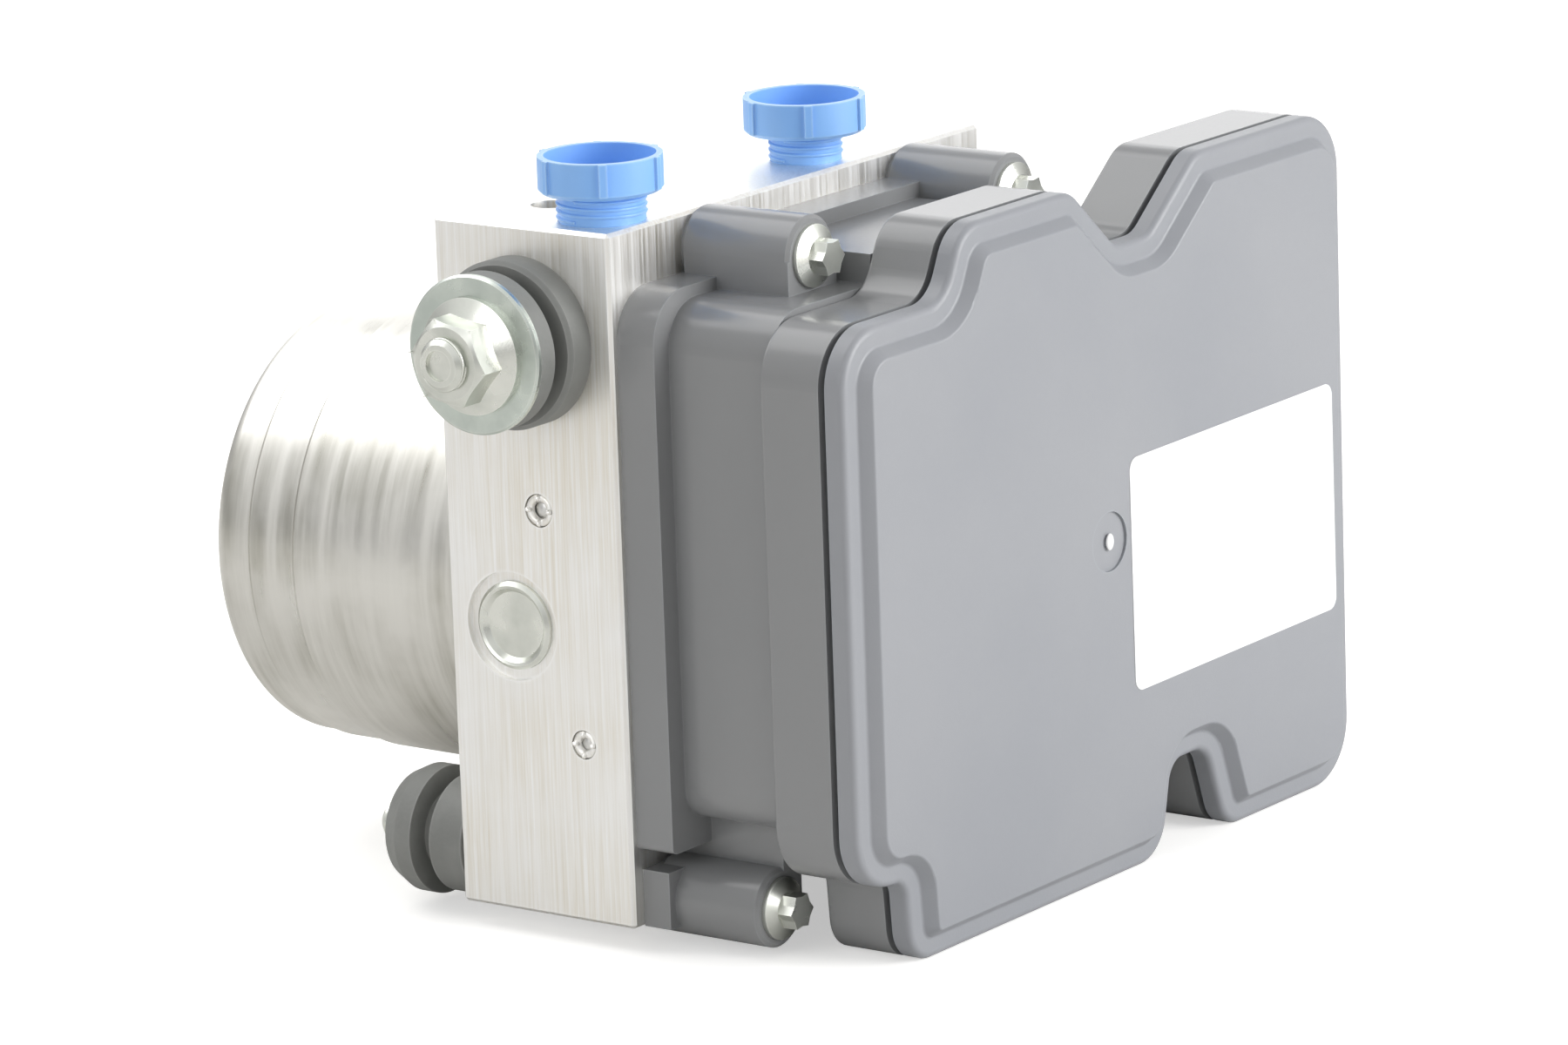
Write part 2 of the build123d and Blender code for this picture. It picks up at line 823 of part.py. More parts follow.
brush_start = commutator_radius + running_clearance
brush_middle = commutator_start + commutator_length / 2
with BuildPart() as brush_holder:
    with BuildSketch(motor_plane(end_plate_thickness)):
        Circle(holder_radius)
        Circle(commutator_radius + 1.0, mode=Mode.SUBTRACT)
        with Locations(*motor_screw_offsets):
            Circle(motor_screw_radius + 1.5, mode=Mode.SUBTRACT)
        with Locations((0, -terminal_drop)):
            Rectangle(terminal_spacing + 3 * terminal_size, 3 * terminal_size, mode=Mode.SUBTRACT)
    extrude(amount=holder_thickness)
    box_side = brush_side + 2 * brush_box_wall
    box_height = brush_middle + box_side / 2 - end_plate_thickness
    box_middle = commutator_radius + 1.5 + brush_length / 2
    with BuildSketch(motor_plane(end_plate_thickness)):
        with GridLocations(2 * box_middle, 1, 2, 1):
            Rectangle(brush_length - 1.0, box_side)
    extrude(amount=box_height)
    with BuildSketch(Plane.YZ.offset(motor_x - holder_radius)):
        with Locations((block_back + brush_middle, motor_z)):
            Rectangle(brush_side + 2 * running_clearance, brush_side + 2 * running_clearance)
    extrude(amount=2 * holder_radius, mode=Mode.SUBTRACT)
save(brush_holder, "brush_holder")

with BuildPart() as carbon_brushes:
    with Locations((motor_x, block_back + brush_middle, motor_z)):
        with GridLocations(2 * brush_start + brush_length, 1, 2, 1):
            Box(brush_length, brush_side, brush_side)
    commutator_space = commutator_radius + running_clearance
    add(bore(motor_seat, backward, (motor_length, commutator_space)), mode=Mode.SUBTRACT)
save(carbon_brushes, "carbon_brushes")

# Magnets: four shells held against the can
magnet_outer = inner_radius - press_clearance
magnet_inner = magnet_outer - magnet_thickness
core_start = commutator_start + commutator_length + winding_clearance + winding_bulge
core_length = motor_length - motor_wall - motor_end_room - winding_bulge - core_start
magnet_start = core_start - magnet_overhang
magnet_length = core_length + 2 * magnet_overhang
with BuildSketch() as magnet_section:
    with BuildLine():
        outer_arc = CenterArc((0, 0), magnet_outer, -magnet_angle / 2, magnet_angle)
        inner_arc = CenterArc((0, 0), magnet_inner, -magnet_angle / 2, magnet_angle)
        Line(outer_arc @ 0, inner_arc @ 0)
        Line(outer_arc @ 1, inner_arc @ 1)
    make_face()
with BuildPart() as motor_magnets:
    with BuildSketch(motor_plane(magnet_start)):
        with PolarLocations(0, magnet_count, start_angle=45):
            add(magnet_section.sketch)
    extrude(amount=magnet_length)
save(motor_magnets, "motor_magnets")

# Rotor: slotted core, windings, commutator, shaft with its eccentric, and the ring bearing on it
core_bore = shaft_radius + press_clearance
with BuildPart() as rotor_core:
    with BuildSketch(motor_plane(core_start)):
        Circle(core_radius)
        Circle(core_bore, mode=Mode.SUBTRACT)
        with PolarLocations(core_radius - slot_depth / 2, core_slots):
            Rectangle(slot_depth + 1.0, slot_width, mode=Mode.SUBTRACT)
    extrude(amount=core_length)
save(rotor_core, "rotor_core")

bar_width = slot_width - 2 * winding_clearance
bar_depth = slot_depth - 2 * winding_clearance - 1.0
with BuildPart() as rotor_windings:
    with BuildSketch(motor_plane(core_start - winding_bulge)):
        with PolarLocations(core_radius - 1.0 - bar_depth / 2, core_slots):
            Rectangle(bar_depth, bar_width)
    extrude(amount=core_length + 2 * winding_bulge)
    ring_outer = core_radius - 1.0
    ring_inner = core_radius - slot_depth - 2.0
    for ring_start in (core_start - winding_bulge, core_start + core_length + winding_clearance):
        with BuildSketch(motor_plane(ring_start)):
            Circle(ring_outer)
            Circle(ring_inner, mode=Mode.SUBTRACT)
        extrude(amount=winding_bulge - winding_clearance)
save(rotor_windings, "rotor_windings")

with BuildPart() as commutator:
    with BuildSketch(motor_plane(commutator_start)):
        Circle(commutator_radius)
        Circle(core_bore, mode=Mode.SUBTRACT)
    extrude(amount=commutator_length)
save(commutator, "commutator")

# Distances along the shaft, measured from the back face towards the cover
eccentric_middle = block_depth - pump_depth
eccentric_start = eccentric_middle - ring_bearing_length / 2 - face_clearance
eccentric_end = eccentric_middle + ring_bearing_length / 2 + face_clearance
shaft_back = motor_length + rear_boss_height - motor_wall - face_clearance
with BuildPart() as motor_shaft:
    add(
        turned(
            motor_seat,
            forward,
            [
                (-shaft_back, 0),
                (-shaft_back, shaft_radius),
                (eccentric_start, shaft_radius),
                (eccentric_start, nose_radius),
                (motor_bore_depth + nose_length - face_clearance, nose_radius),
                (motor_bore_depth + nose_length - face_clearance, 0),
            ],
        ).part
    )
    eccentric_plane = Plane(
        origin=(motor_x, block_back - eccentric_start, motor_z + eccentric_throw), x_dir=right, z_dir=forward
    )
    with BuildSketch(eccentric_plane):
        Circle(eccentric_radius)
    extrude(amount=eccentric_end - eccentric_start)
save(motor_shaft, "motor_shaft")

ring_bearing_seat = (
    motor_x,
    block_back - eccentric_middle + ring_bearing_length / 2,
    motor_z + eccentric_throw,
)


def ring(origin, direction, length, outer, inner):
    """A plain ring, such as a bearing."""
    return turned(origin, direction, [(0, inner), (0, outer), (length, outer), (length, inner)])


eccentric_bearing = ring(
    ring_bearing_seat, forward, ring_bearing_length, ring_bearing_radius, eccentric_radius + press_clearance
)
save(eccentric_bearing, "eccentric_bearing")
front_bearing = ring(
    motor_seat,
    forward,
    front_bearing_length,
    motor_bore_radius - press_clearance,
    shaft_radius + running_clearance,
)
save(front_bearing, "front_bearing")
rear_bearing = ring(
    (motor_x, can_end + rear_boss_height - motor_wall, motor_z),
    forward,
    rear_bearing_length,
    rear_bearing_radius,
    shaft_radius + running_clearance,
)
save(rear_bearing, "rear_bearing")

# Motor screws from the block's front face into the end plate
motor_screw_length = block_depth + end_plate_thickness
with BuildPart() as motor_screws:
    for x, z in motor_screw_places:
        add(
            turned(
                (x, block_front, z),
                backward,
                [
                    (face_clearance, 0),
                    (face_clearance, motor_screw_head_radius),
                    (motor_screw_head_height + face_clearance, motor_screw_head_radius),
                    (motor_screw_head_height + face_clearance, motor_screw_radius),
                    (motor_screw_length, motor_screw_radius),
                    (motor_screw_length, 0),
                ],
            ).part
        )
save(motor_screws, "motor_screws")

# Motor terminals: flat strips from the brush holder to the circuit board
terminal_back = block_back + end_plate_thickness + holder_thickness
with BuildPart() as motor_terminals:
    with BuildSketch(facing_front(terminal_back)):
        with Locations((motor_x, terminal_z)):
            with GridLocations(terminal_spacing, 1, 2, 1):
                Rectangle(terminal_size, terminal_size)
    extrude(amount=terminal_back - board_back)
save(motor_terminals, "motor_terminals")

# Pump pistons, sleeves and springs, one set on each side of the eccentric
piston_start = ring_bearing_radius + eccentric_throw + running_clearance
piston_end = piston_start + piston_length
sleeve_start = motor_bore_radius + face_clearance
plug_end = block_width / 2 - caulk_depth - pump_plug_length
pump_axis = (motor_x, pump_y, motor_z)
for side, outward in (("left", left), ("right", right)):
    piston = turned(
        pump_axis,
        outward,
        [
            (piston_start, 0),
            (piston_start, piston_radius),
            (piston_end, piston_radius),
            (piston_end, 0),
        ],
    )
    save(piston, f"pump_piston_{side}")
    pump_sleeve = turned(
        pump_axis,
        outward,
        [
            (sleeve_start, piston_radius + running_clearance),
            (sleeve_start, pump_bore_radius - press_clearance),
            (sleeve_start + pump_sleeve_length, pump_bore_radius - press_clearance),
            (sleeve_start + pump_sleeve_length, piston_radius + running_clearance),
        ],
    )
    save(pump_sleeve, f"pump_sleeve_{side}")
    spring_seat = (motor_x + outward[0] * piston_end, pump_y, motor_z)
    pump_spring = coil_spring(
        spring_seat, outward, pump_spring_radius, pump_spring_wire, pump_spring_turns, plug_end - piston_end
    )
    save(pump_spring, f"pump_spring_{side}")

# Accumulators in the bottom face: a cap, a spring and a cup-shaped piston each
store_cap_outline = [
    (block_edge, 0),
    (block_edge, store_bore_radius - press_clearance),
    (block_edge + store_cap_length, store_bore_radius - press_clearance),
    (block_edge + store_cap_length, 0),
]
store_cap_top = block_edge + store_cap_length
store_piston_top = store_bore_depth - face_clearance
store_piston_low = store_piston_top - store_piston_length
store_pocket_top = store_piston_low + store_pocket_depth
with BuildPart() as accumulator_caps:
    for x in store_xs:
        add(turned((x, store_y, block_bottom), up, store_cap_outline).part)
save(accumulator_caps, "accumulator_caps")
for side, x in zip(("left", "right"), store_xs):
    store_piston = turned(
        (x, store_y, block_bottom),
        up,
        [
            (store_pocket_top, 0),
            (store_pocket_top, store_pocket_radius),
            (store_piston_low, store_pocket_radius),
            (store_piston_low, store_bore_radius - running_clearance),
            (store_piston_top, store_bore_radius - running_clearance),
            (store_piston_top, 0),
        ],
    )
    save(store_piston, f"accumulator_piston_{side}")
    store_spring = coil_spring(
        (x, store_y, block_bottom + store_cap_top),
        up,
        store_spring_radius,
        store_spring_wire,
        store_spring_turns,
        store_pocket_top - store_cap_top,
    )
    save(store_spring, f"accumulator_spring_{side}")


# Solenoid valves: a cartridge staked into the block, with its closed sleeve standing in the coil
def cartridge(place, sleeve_length):
    x, z = place
    top = cartridge_depth + sleeve_length
    return turned(
        (x, block_front + cartridge_depth, z),
        forward,
        [
            (0, seat_radius),
            (0, cartridge_radius),
            (cartridge_depth - collar_depth, cartridge_radius),
            (cartridge_depth - collar_depth, collar_radius),
            (cartridge_depth, collar_radius),
            (cartridge_depth, sleeve_radius),
            (top, sleeve_radius),
            (top, 0),
            (top - sleeve_wall, 0),
            (top - sleeve_wall, sleeve_radius - sleeve_wall),
            (seat_length, sleeve_radius - sleeve_wall),
            (seat_length, seat_radius),
        ],
    )


def armature(place, sleeve_length, lift):
    """The moving core of a valve with its needle, standing lift above the seat."""
    x, z = place
    core_radius_here = sleeve_radius - sleeve_wall - running_clearance
    core_top = cartridge_depth + sleeve_length - sleeve_wall - valve_stroke - running_clearance
    if lift > valve_stroke / 2:
        core_top += valve_stroke
    core_low = core_top - armature_length
    needle_low = seat_length + running_clearance + lift
    return turned(
        (x, block_front + cartridge_depth, z),
        forward,
        [
            (needle_low, 0),
            (needle_low, needle_radius),
            (core_low, needle_radius),
            (core_low, core_radius_here),
            (core_top, core_radius_here),
            (core_top, 0),
        ],
    )


with BuildPart() as inlet_cartridges:
    for place in inlet_places:
        add(cartridge(place, inlet_sleeve_length).part)
save(inlet_cartridges, "inlet_cartridges")
with BuildPart() as outlet_cartridges:
    for place in outlet_places:
        add(cartridge(place, outlet_sleeve_length).part)
save(outlet_cartridges, "outlet_cartridges")

# Inlet valves stand open at rest and outlet valves closed
for number, place in enumerate(inlet_places, 1):
    save(armature(place, inlet_sleeve_length, valve_stroke), f"inlet_armature_{number}")
for number, place in enumerate(outlet_places, 1):
    save(armature(place, outlet_sleeve_length, 0), f"outlet_armature_{number}")

# Coils: square steel yokes round the sleeves, each with two pins to the circuit board
coil_back = block_front - face_clearance
coil_front = coil_back - coil_length
with BuildPart() as solenoid_coils:
    with BuildSketch(facing_front(coil_back)):
        with Locations(*inlet_places, *outlet_places):
            Rectangle(coil_side, coil_side)
            Circle(sleeve_radius + running_clearance, mode=Mode.SUBTRACT)
    extrude(amount=coil_length)
    half_pitch = coil_pin_pitch / 2
    coil_pins = [(x + side * half_pitch, z) for x, z in inlet_places + outlet_places for side in (-1, 1)]
    with BuildSketch(facing_front(coil_front)):
        with Locations(*coil_pins):
            Rectangle(coil_pin_size, coil_pin_size)
    extrude(amount=coil_front - board_back)
save(solenoid_coils, "solenoid_coils")

# Control unit housing: one moulding with the seal rim, the coil chamber, the circuit board tray, the
# four screw tubes and the connector's socket
rim_left = block_left + rim_inset
rim_right = block_right - rim_inset
chamber_left = block_left + chamber_inset
chamber_right = block_right - chamber_inset
chamber_low = block_bottom + chamber_bottom
chamber_high = block_top - chamber_drop
socket_x = (block_right + cover_right_x) / 2
socket_z = block_bottom + socket_low + socket_height / 2


def box_between(x_low, x_high, z_low, z_high):
    """A sketch rectangle given by its edges, on a plane that reads X and Z."""
    with Locations(((x_low + x_high) / 2, (z_low + z_high) / 2)):
        Rectangle(x_high - x_low, z_high - z_low)


def stepped_frame(edges, low_radius, high_radius, middle_high, middle_inset):
    """A rounded rectangle whose top stands higher between the two upper screw tubes."""
    middle_left = first_upper_tube[0] + middle_inset
    middle_right = second_upper_tube[0] - middle_inset
    with BuildSketch(facing_front(block_front)) as frame:
        box_between(*edges)
        fillet(frame.vertices().group_by(Axis.Y)[-1], high_radius)
        fillet(frame.vertices().group_by(Axis.Y)[0], low_radius)
        box_between(middle_left, middle_right, edges[2], middle_high)
    return frame.sketch


def seal_ring(width):
    """The seal's path round the coil space, at a width, on the block's front face."""
    with BuildSketch(facing_front(block_front)) as ring_sketch:
        box_between(
            block_left + seal_inset - width / 2,
            block_right - seal_inset + width / 2,
            chamber_low - width / 2,
            chamber_high - seal_width / 2 + width / 2,
        )
        fillet(ring_sketch.vertices(), coil_space_radius)
        offset(amount=-width, mode=Mode.SUBTRACT)
    return ring_sketch.sketch


contact_hole = contact_size + 2 * press_clearance
contact_middle = (socket_x, socket_z + contact_rise)
blade_places = [(socket_x, socket_z - blade_drop), (socket_x, socket_z - blade_drop - blade_spacing)]
socket_floor_back = tray_back + socket_floor

with BuildPart() as ecu_housing:
    # Tray
    with BuildSketch(facing_front(tray_back)):
        add(cover_outline.sketch)
    extrude(amount=tray_depth)
    fillet(ecu_housing.faces().sort_by(Axis.Y)[-1].edges(), tray_edge_radius)

    # Coil chamber and seal rim
    chamber_edges = (chamber_left, chamber_right, chamber_low, chamber_high)
    chamber_middle = block_top - chamber_middle_drop
    tube_side = tube_radius + screw_room
    chamber = stepped_frame(chamber_edges, chamber_low_radius, chamber_radius, chamber_middle, tube_side)
    extrude(chamber, amount=rim_depth + chamber_depth)
    rim_edges = (rim_left, rim_right, block_bottom + rim_bottom, block_top - rim_drop)
    rim_middle = block_top - rim_middle_drop
    extrude(stepped_frame(rim_edges, rim_low_radius, rim_radius, rim_middle, 0), amount=rim_depth)

    # Screw tubes with a narrow neck at the block and a softened end
    tube_outline = [
        (0, 0),
        (0, tube_neck_radius),
        (tube_neck_length, tube_neck_radius),
        (tube_neck_length, tube_radius),
        (tube_length - tube_edge, tube_radius),
        (tube_length, tube_radius - tube_edge),
        (tube_length, 0),
    ]
    for x, z in tubes:
        add(turned((x, block_front, z), forward, tube_outline).part)

    # Square webs under the upper tubes
    with BuildSketch(facing_front(block_front - tube_neck_length)):
        for x, z in (first_upper_tube, second_upper_tube):
            box_between(x - tube_radius, x + tube_radius, chamber_high - tube_radius, z)
    extrude(amount=tube_length - tube_neck_length)

    # Feet beside the lower tubes, and ribs from the tubes up to the chamber
    foot_left = block_left + foot_inset
    foot_right = block_right - foot_inset
    with BuildSketch(facing_front(block_front)):
        box_between(foot_left, first_lower_tube[0] + tube_radius, block_bottom, block_bottom + foot_top)
        box_between(second_lower_tube[0] - tube_radius, foot_right, block_bottom, block_bottom + foot_top)
    extrude(amount=foot_depth)
    with BuildSketch(facing_front(block_front - tube_neck_length)):
        for x in (first_lower_tube[0] + rib_shift, second_lower_tube[0] - rib_shift):
            box_between(x - rib_width / 2, x + rib_width / 2, lower_tube_z, chamber_low + rib_width)
    extrude(amount=tube_length - tube_neck_length)

    # Socket for the connector, open towards the back
    with BuildSketch(facing_front(tray_back)):
        with Locations((socket_x, socket_z)):
            RectangleRounded(socket_width, socket_height, socket_radius)
        with Locations((socket_x, socket_z + socket_height / 2), (socket_x, socket_z - socket_height / 2)):
            Rectangle(key_width, 2 * key_height)
    extrude(amount=-socket_depth)
    with BuildSketch(facing_front(tray_back + socket_depth)):
        with Locations((socket_x, socket_z)):
            inner_width = socket_width - 2 * socket_wall
            inner_height = socket_height - 2 * socket_wall
            RectangleRounded(inner_width, inner_height, socket_radius - socket_wall)
    extrude(amount=socket_depth - socket_floor, mode=Mode.SUBTRACT)

    # Space for the coils, open to the block
    with BuildSketch(facing_front(block_front)) as coil_space:
        box_between(
            chamber_left + chamber_wall,
            chamber_right - chamber_wall,
            chamber_low + chamber_wall,
            chamber_high - chamber_wall,
        )
        fillet(coil_space.vertices(), coil_space_radius)
    extrude(amount=rim_depth + chamber_depth - chamber_wall, mode=Mode.SUBTRACT)

    # Groove for the seal in the rim's back
    extrude(seal_ring(seal_width), amount=seal_depth, mode=Mode.SUBTRACT)

    # Space for the circuit board, open to the cover
    with BuildSketch(facing_front(tray_front)):
        offset(cover_outline.sketch, amount=-tray_wall)
    extrude(amount=-(tray_floor - tray_front), mode=Mode.SUBTRACT)

    # Bosses under the circuit board
    with BuildSketch(facing_front(tray_floor)):
        with Locations(*board_boss_places):
            Circle(board_boss_radius)
    extrude(amount=board_gap)

    # Holes through the floor for the screws, the coil pins, the motor terminals and the contacts
    with BuildSketch(facing_front(block_front)):
        with Locations(*tubes):
            Circle(screw_radius + running_clearance)
    extrude(amount=tube_length, mode=Mode.SUBTRACT)
    with BuildSketch(facing_front(coil_front)):
        with Locations(*inlet_places, *outlet_places):
            Rectangle(coil_pin_pitch + 2 * window_height, window_height)
        with Locations((motor_x, terminal_z)):
            Rectangle(terminal_spacing + 2 * window_height, window_height)
    extrude(amount=coil_front - board_back, mode=Mode.SUBTRACT)
    with BuildSketch(facing_front(socket_floor_back)):
        with Locations(contact_middle):
            with GridLocations(contact_spacing_x, contact_spacing_z, contact_columns, contact_rows):
                Rectangle(contact_hole, contact_hole)
        with Locations(*blade_places):
            Rectangle(blade_width + 2 * press_clearance, blade_thickness + 2 * press_clearance)
    extrude(amount=socket_floor_back - tray_floor, mode=Mode.SUBTRACT)
save(ecu_housing, "ecu_housing")

# Seal between the housing and the block
with BuildPart() as housing_seal:
    extrude(seal_ring(seal_width - 2 * running_clearance), amount=seal_depth)
save(housing_seal, "housing_seal")

# Contacts: pins and two wide blades from the circuit board into the socket
with BuildPart() as connector_contacts:
    with BuildSketch(facing_front(socket_floor_back + contact_length)):
        with Locations(contact_middle):
            with GridLocations(contact_spacing_x, contact_spacing_z, contact_columns, contact_rows):
                Rectangle(contact_size, contact_size)
        with Locations(*blade_places):
            Rectangle(blade_width, blade_thickness)
    extrude(amount=socket_floor_back + contact_length - board_back)
save(connector_contacts, "connector_contacts")

# Circuit board with its larger parts
with BuildPart() as circuit_board:
    with BuildSketch(facing_front(board_back)):
        offset(cover_outline.sketch, amount=-(tray_wall + face_clearance))
    extrude(amount=board_thickness)
save(circuit_board, "circuit_board")

with BuildPart() as board_components:
    chips = [(block_left + x, z, side, height) for x, z, side, height in left_chips]
    chips += [(cover_right_x - x, z, side, height) for x, z, side, height in right_chips]
    for x, z, side, height in chips:
        with BuildSketch(facing_front(board_front)):
            with Locations((x, block_bottom + z)):
                Rectangle(side, side)
        extrude(amount=height)
    with BuildSketch(facing_front(board_front)):
        with Locations(*[(cover_right_x - x, block_bottom + z) for x, z in right_capacitors]):
            Circle(capacitor_radius)
    extrude(amount=board_front - cover_front - cover_face_wall - face_clearance)
save(board_components, "board_components")

# Cover: a raised panel with sloped sides, and a tongue that holds the board down in the tray
tongue_outer = tray_wall + running_clearance
tongue_inner = tongue_outer + tongue_wall
with BuildPart() as ecu_cover:
    with BuildSketch(facing_front(cover_back)):
        add(cover_outline.sketch)
    extrude(amount=cover_depth)
    fillet(ecu_cover.faces().sort_by(Axis.Y)[0].edges(), cover_edge_radius)
    with BuildSketch(facing_front(cover_front)):
        offset(cover_outline.sketch, amount=-panel_inset)
    extrude(amount=panel_raise, taper=panel_taper)
    fillet(ecu_cover.faces().sort_by(Axis.Y)[0].edges(), panel_edge_radius)
    shoulder = ecu_cover.faces().filter_by(Plane.XZ).sort_by(Axis.Y)[1]
    fillet(shoulder.inner_wires()[0].edges(), panel_foot_radius)
    with BuildSketch(facing_front(cover_back)):
        offset(cover_outline.sketch, amount=-tongue_outer)
    extrude(amount=-(board_front - cover_back))
    with BuildSketch(facing_front(board_front)):
        offset(cover_outline.sketch, amount=-tongue_inner)
    extrude(amount=board_front - cover_front - cover_face_wall, mode=Mode.SUBTRACT)
    with BuildSketch(facing_front(board_front)):
        offset(cover_outline.sketch, amount=-panel_pocket_inset)
    extrude(amount=board_front - panel_front - cover_face_wall, mode=Mode.SUBTRACT)

    # Dish with the moulding gate's nub
    with BuildSketch(facing_front(panel_front)):
        with Locations((block_left + gate_x, block_bottom + gate_z)):
            Circle(gate_radius)
            Circle(gate_nub_radius, mode=Mode.SUBTRACT)
    extrude(amount=-gate_depth, mode=Mode.SUBTRACT)
save(ecu_cover, "ecu_cover")

# Label on the panel
label_place = (cover_right_x - label_right - label_width / 2, block_bottom + label_low + label_height / 2)
with BuildPart() as label:
    with BuildSketch(facing_front(panel_front)):
        with Locations(label_place):
            RectangleRounded(label_width, label_height, label_radius, rotation=label_turn)
    extrude(amount=label_thickness)
save(label, "label")

# Control unit screws with star heads, their flanges on the ends of the tubes
star = []
for point in range(2 * screw_lobes):
    reach = screw_head_radius if point % 2 == 0 else screw_head_root
    angle = radians(180 / screw_lobes * point)
    star.append((reach * cos(angle), reach * sin(angle)))
with BuildPart() as ecu_screws:
    with BuildSketch(facing_front(block_front + screw_depth)):
        with Locations(*tubes):
            Circle(screw_radius)
    extrude(amount=screw_depth + tube_length)
    for x, z in tubes:
        add(
            turned(
                (x, tube_front, z),
                forward,
                [
                    (0, 0),
                    (0, screw_flange_radius),
                    (screw_flange_edge, screw_flange_radius),
                    (screw_flange_height, screw_head_radius),
                    (screw_flange_height, 0),
                ],
            ).part
        )
    with BuildSketch(facing_front(tube_front - screw_flange_height)):
        with Locations(*tubes):
            Polygon(*star, align=None)
    extrude(amount=screw_head_height - screw_flange_height)
save(ecu_screws, "ecu_screws")
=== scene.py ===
# %% [markdown]
# # Dressing an anti-lock brake unit
# The construction is finished before this lesson starts: a machined valve block, a drawn pump
# motor on its back and a moulded control unit on its front. Here those parts get their finishes,
# the fine detail that only an eye close up would see, and the plain white studio they were
# photographed in.

# %% Load the finished construction
import math

import bmesh
import bpy
from mathutils import Matrix, Vector


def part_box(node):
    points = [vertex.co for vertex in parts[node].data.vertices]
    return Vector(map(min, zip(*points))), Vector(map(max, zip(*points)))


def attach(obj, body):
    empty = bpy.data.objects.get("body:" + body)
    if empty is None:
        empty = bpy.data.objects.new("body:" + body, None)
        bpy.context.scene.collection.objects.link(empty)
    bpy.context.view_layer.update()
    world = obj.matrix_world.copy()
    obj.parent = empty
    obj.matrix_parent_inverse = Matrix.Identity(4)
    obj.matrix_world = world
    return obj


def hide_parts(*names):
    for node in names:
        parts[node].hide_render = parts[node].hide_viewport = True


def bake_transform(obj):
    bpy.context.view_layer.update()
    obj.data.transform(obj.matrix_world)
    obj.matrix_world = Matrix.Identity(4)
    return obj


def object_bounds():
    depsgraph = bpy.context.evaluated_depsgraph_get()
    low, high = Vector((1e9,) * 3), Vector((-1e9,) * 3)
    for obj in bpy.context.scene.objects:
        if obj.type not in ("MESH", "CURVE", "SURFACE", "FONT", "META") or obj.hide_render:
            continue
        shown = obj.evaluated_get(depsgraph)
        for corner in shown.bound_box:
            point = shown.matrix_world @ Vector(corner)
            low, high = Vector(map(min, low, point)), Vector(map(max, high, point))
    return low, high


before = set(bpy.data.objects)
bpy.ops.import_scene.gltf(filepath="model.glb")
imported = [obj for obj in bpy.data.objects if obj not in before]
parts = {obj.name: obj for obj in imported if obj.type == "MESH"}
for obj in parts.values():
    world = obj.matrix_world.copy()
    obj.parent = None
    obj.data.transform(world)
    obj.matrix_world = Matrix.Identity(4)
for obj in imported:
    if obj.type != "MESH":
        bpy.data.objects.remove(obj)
cad_low, cad_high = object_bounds()
MM = 0.001
print("construction box in mm:", [round((b - a) / MM, 1) for a, b in zip(cad_low, cad_high)])

# %% [markdown]
# ## The camera
# The photograph was taken with a long lens from the front left and a little above. A lens that
# far away keeps the block's edges nearly parallel. The camera could be placed by eye, but its
# angles were worked out from the block's straight edges, so they are written here as plain
# numbers: where the lens stood from the block's lower left front corner, which way it looked, and
# how far it leaned.

# %% Set up the camera
camera_azimuth = math.radians(-53.70)
camera_elevation = math.radians(13.50)
camera_roll = math.radians(2.02)
camera_from_corner = Vector((-814.60, -625.82, 302.57)) * MM
lens_mm = 181.33
sensor_mm = 36.0

block_low, block_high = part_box("valve_block")
forward = Vector((
    -math.sin(camera_azimuth) * math.cos(camera_elevation),
    math.cos(camera_azimuth) * math.cos(camera_elevation),
    -math.sin(camera_elevation),
))
level_right = forward.cross(Vector((0, 0, 1))).normalized()
level_up = level_right.cross(forward)
camera_right = math.cos(camera_roll) * level_right - math.sin(camera_roll) * level_up
camera_up = math.sin(camera_roll) * level_right + math.cos(camera_roll) * level_up

camera_data = bpy.data.cameras.new("studio_camera")
camera_data.lens = lens_mm
camera_data.sensor_width = sensor_mm
camera = bpy.data.objects.new("studio_camera", camera_data)
bpy.context.scene.collection.objects.link(camera)
camera.matrix_world = Matrix.Translation(block_low + camera_from_corner) @ Matrix((
    (camera_right.x, camera_up.x, -forward.x),
    (camera_right.y, camera_up.y, -forward.y),
    (camera_right.z, camera_up.z, -forward.z),
)).to_4x4()
bpy.context.scene.camera = camera
print("camera at", [round(v, 3) for v in camera.location])

# %% [markdown]
# ## The studio
# The product stands on white paper that is lit until it is nearly pure white, and its shadow is
# very faint. More light would wash out the metal, so the paper gets the last of its white from
# its own material: a little glow that only the camera sees. The world is white to the camera too.
# To the metal it is a studio: bright overhead and dimmer towards the horizon, which gives a nut
# or a drawn can its light and dark bands. The plastic shows which way the main light comes from:
# the cover's front is over twice as bright as its side, so the large lamp stands in front and the
# left one is weak. The upper corners of the dark plastic carry pale bands. A band shows where the
# surface mirrors a lamp, so one lamp stands high behind the product for the corners and a low one
# for the flat tops.

# %% The paper floor
floor_half = 3.0
floor_glow = 0.5
corner_signs = ((-1, -1), (1, -1), (1, 1), (-1, 1))
floor_corners = [(x * floor_half, y * floor_half, 0) for x, y in corner_signs]
floor_mesh = bpy.data.meshes.new("paper_floor")
floor_mesh.from_pydata(floor_corners, [], [(0, 1, 2, 3)])
floor = bpy.data.objects.new("paper_floor", floor_mesh)
bpy.context.scene.collection.objects.link(floor)

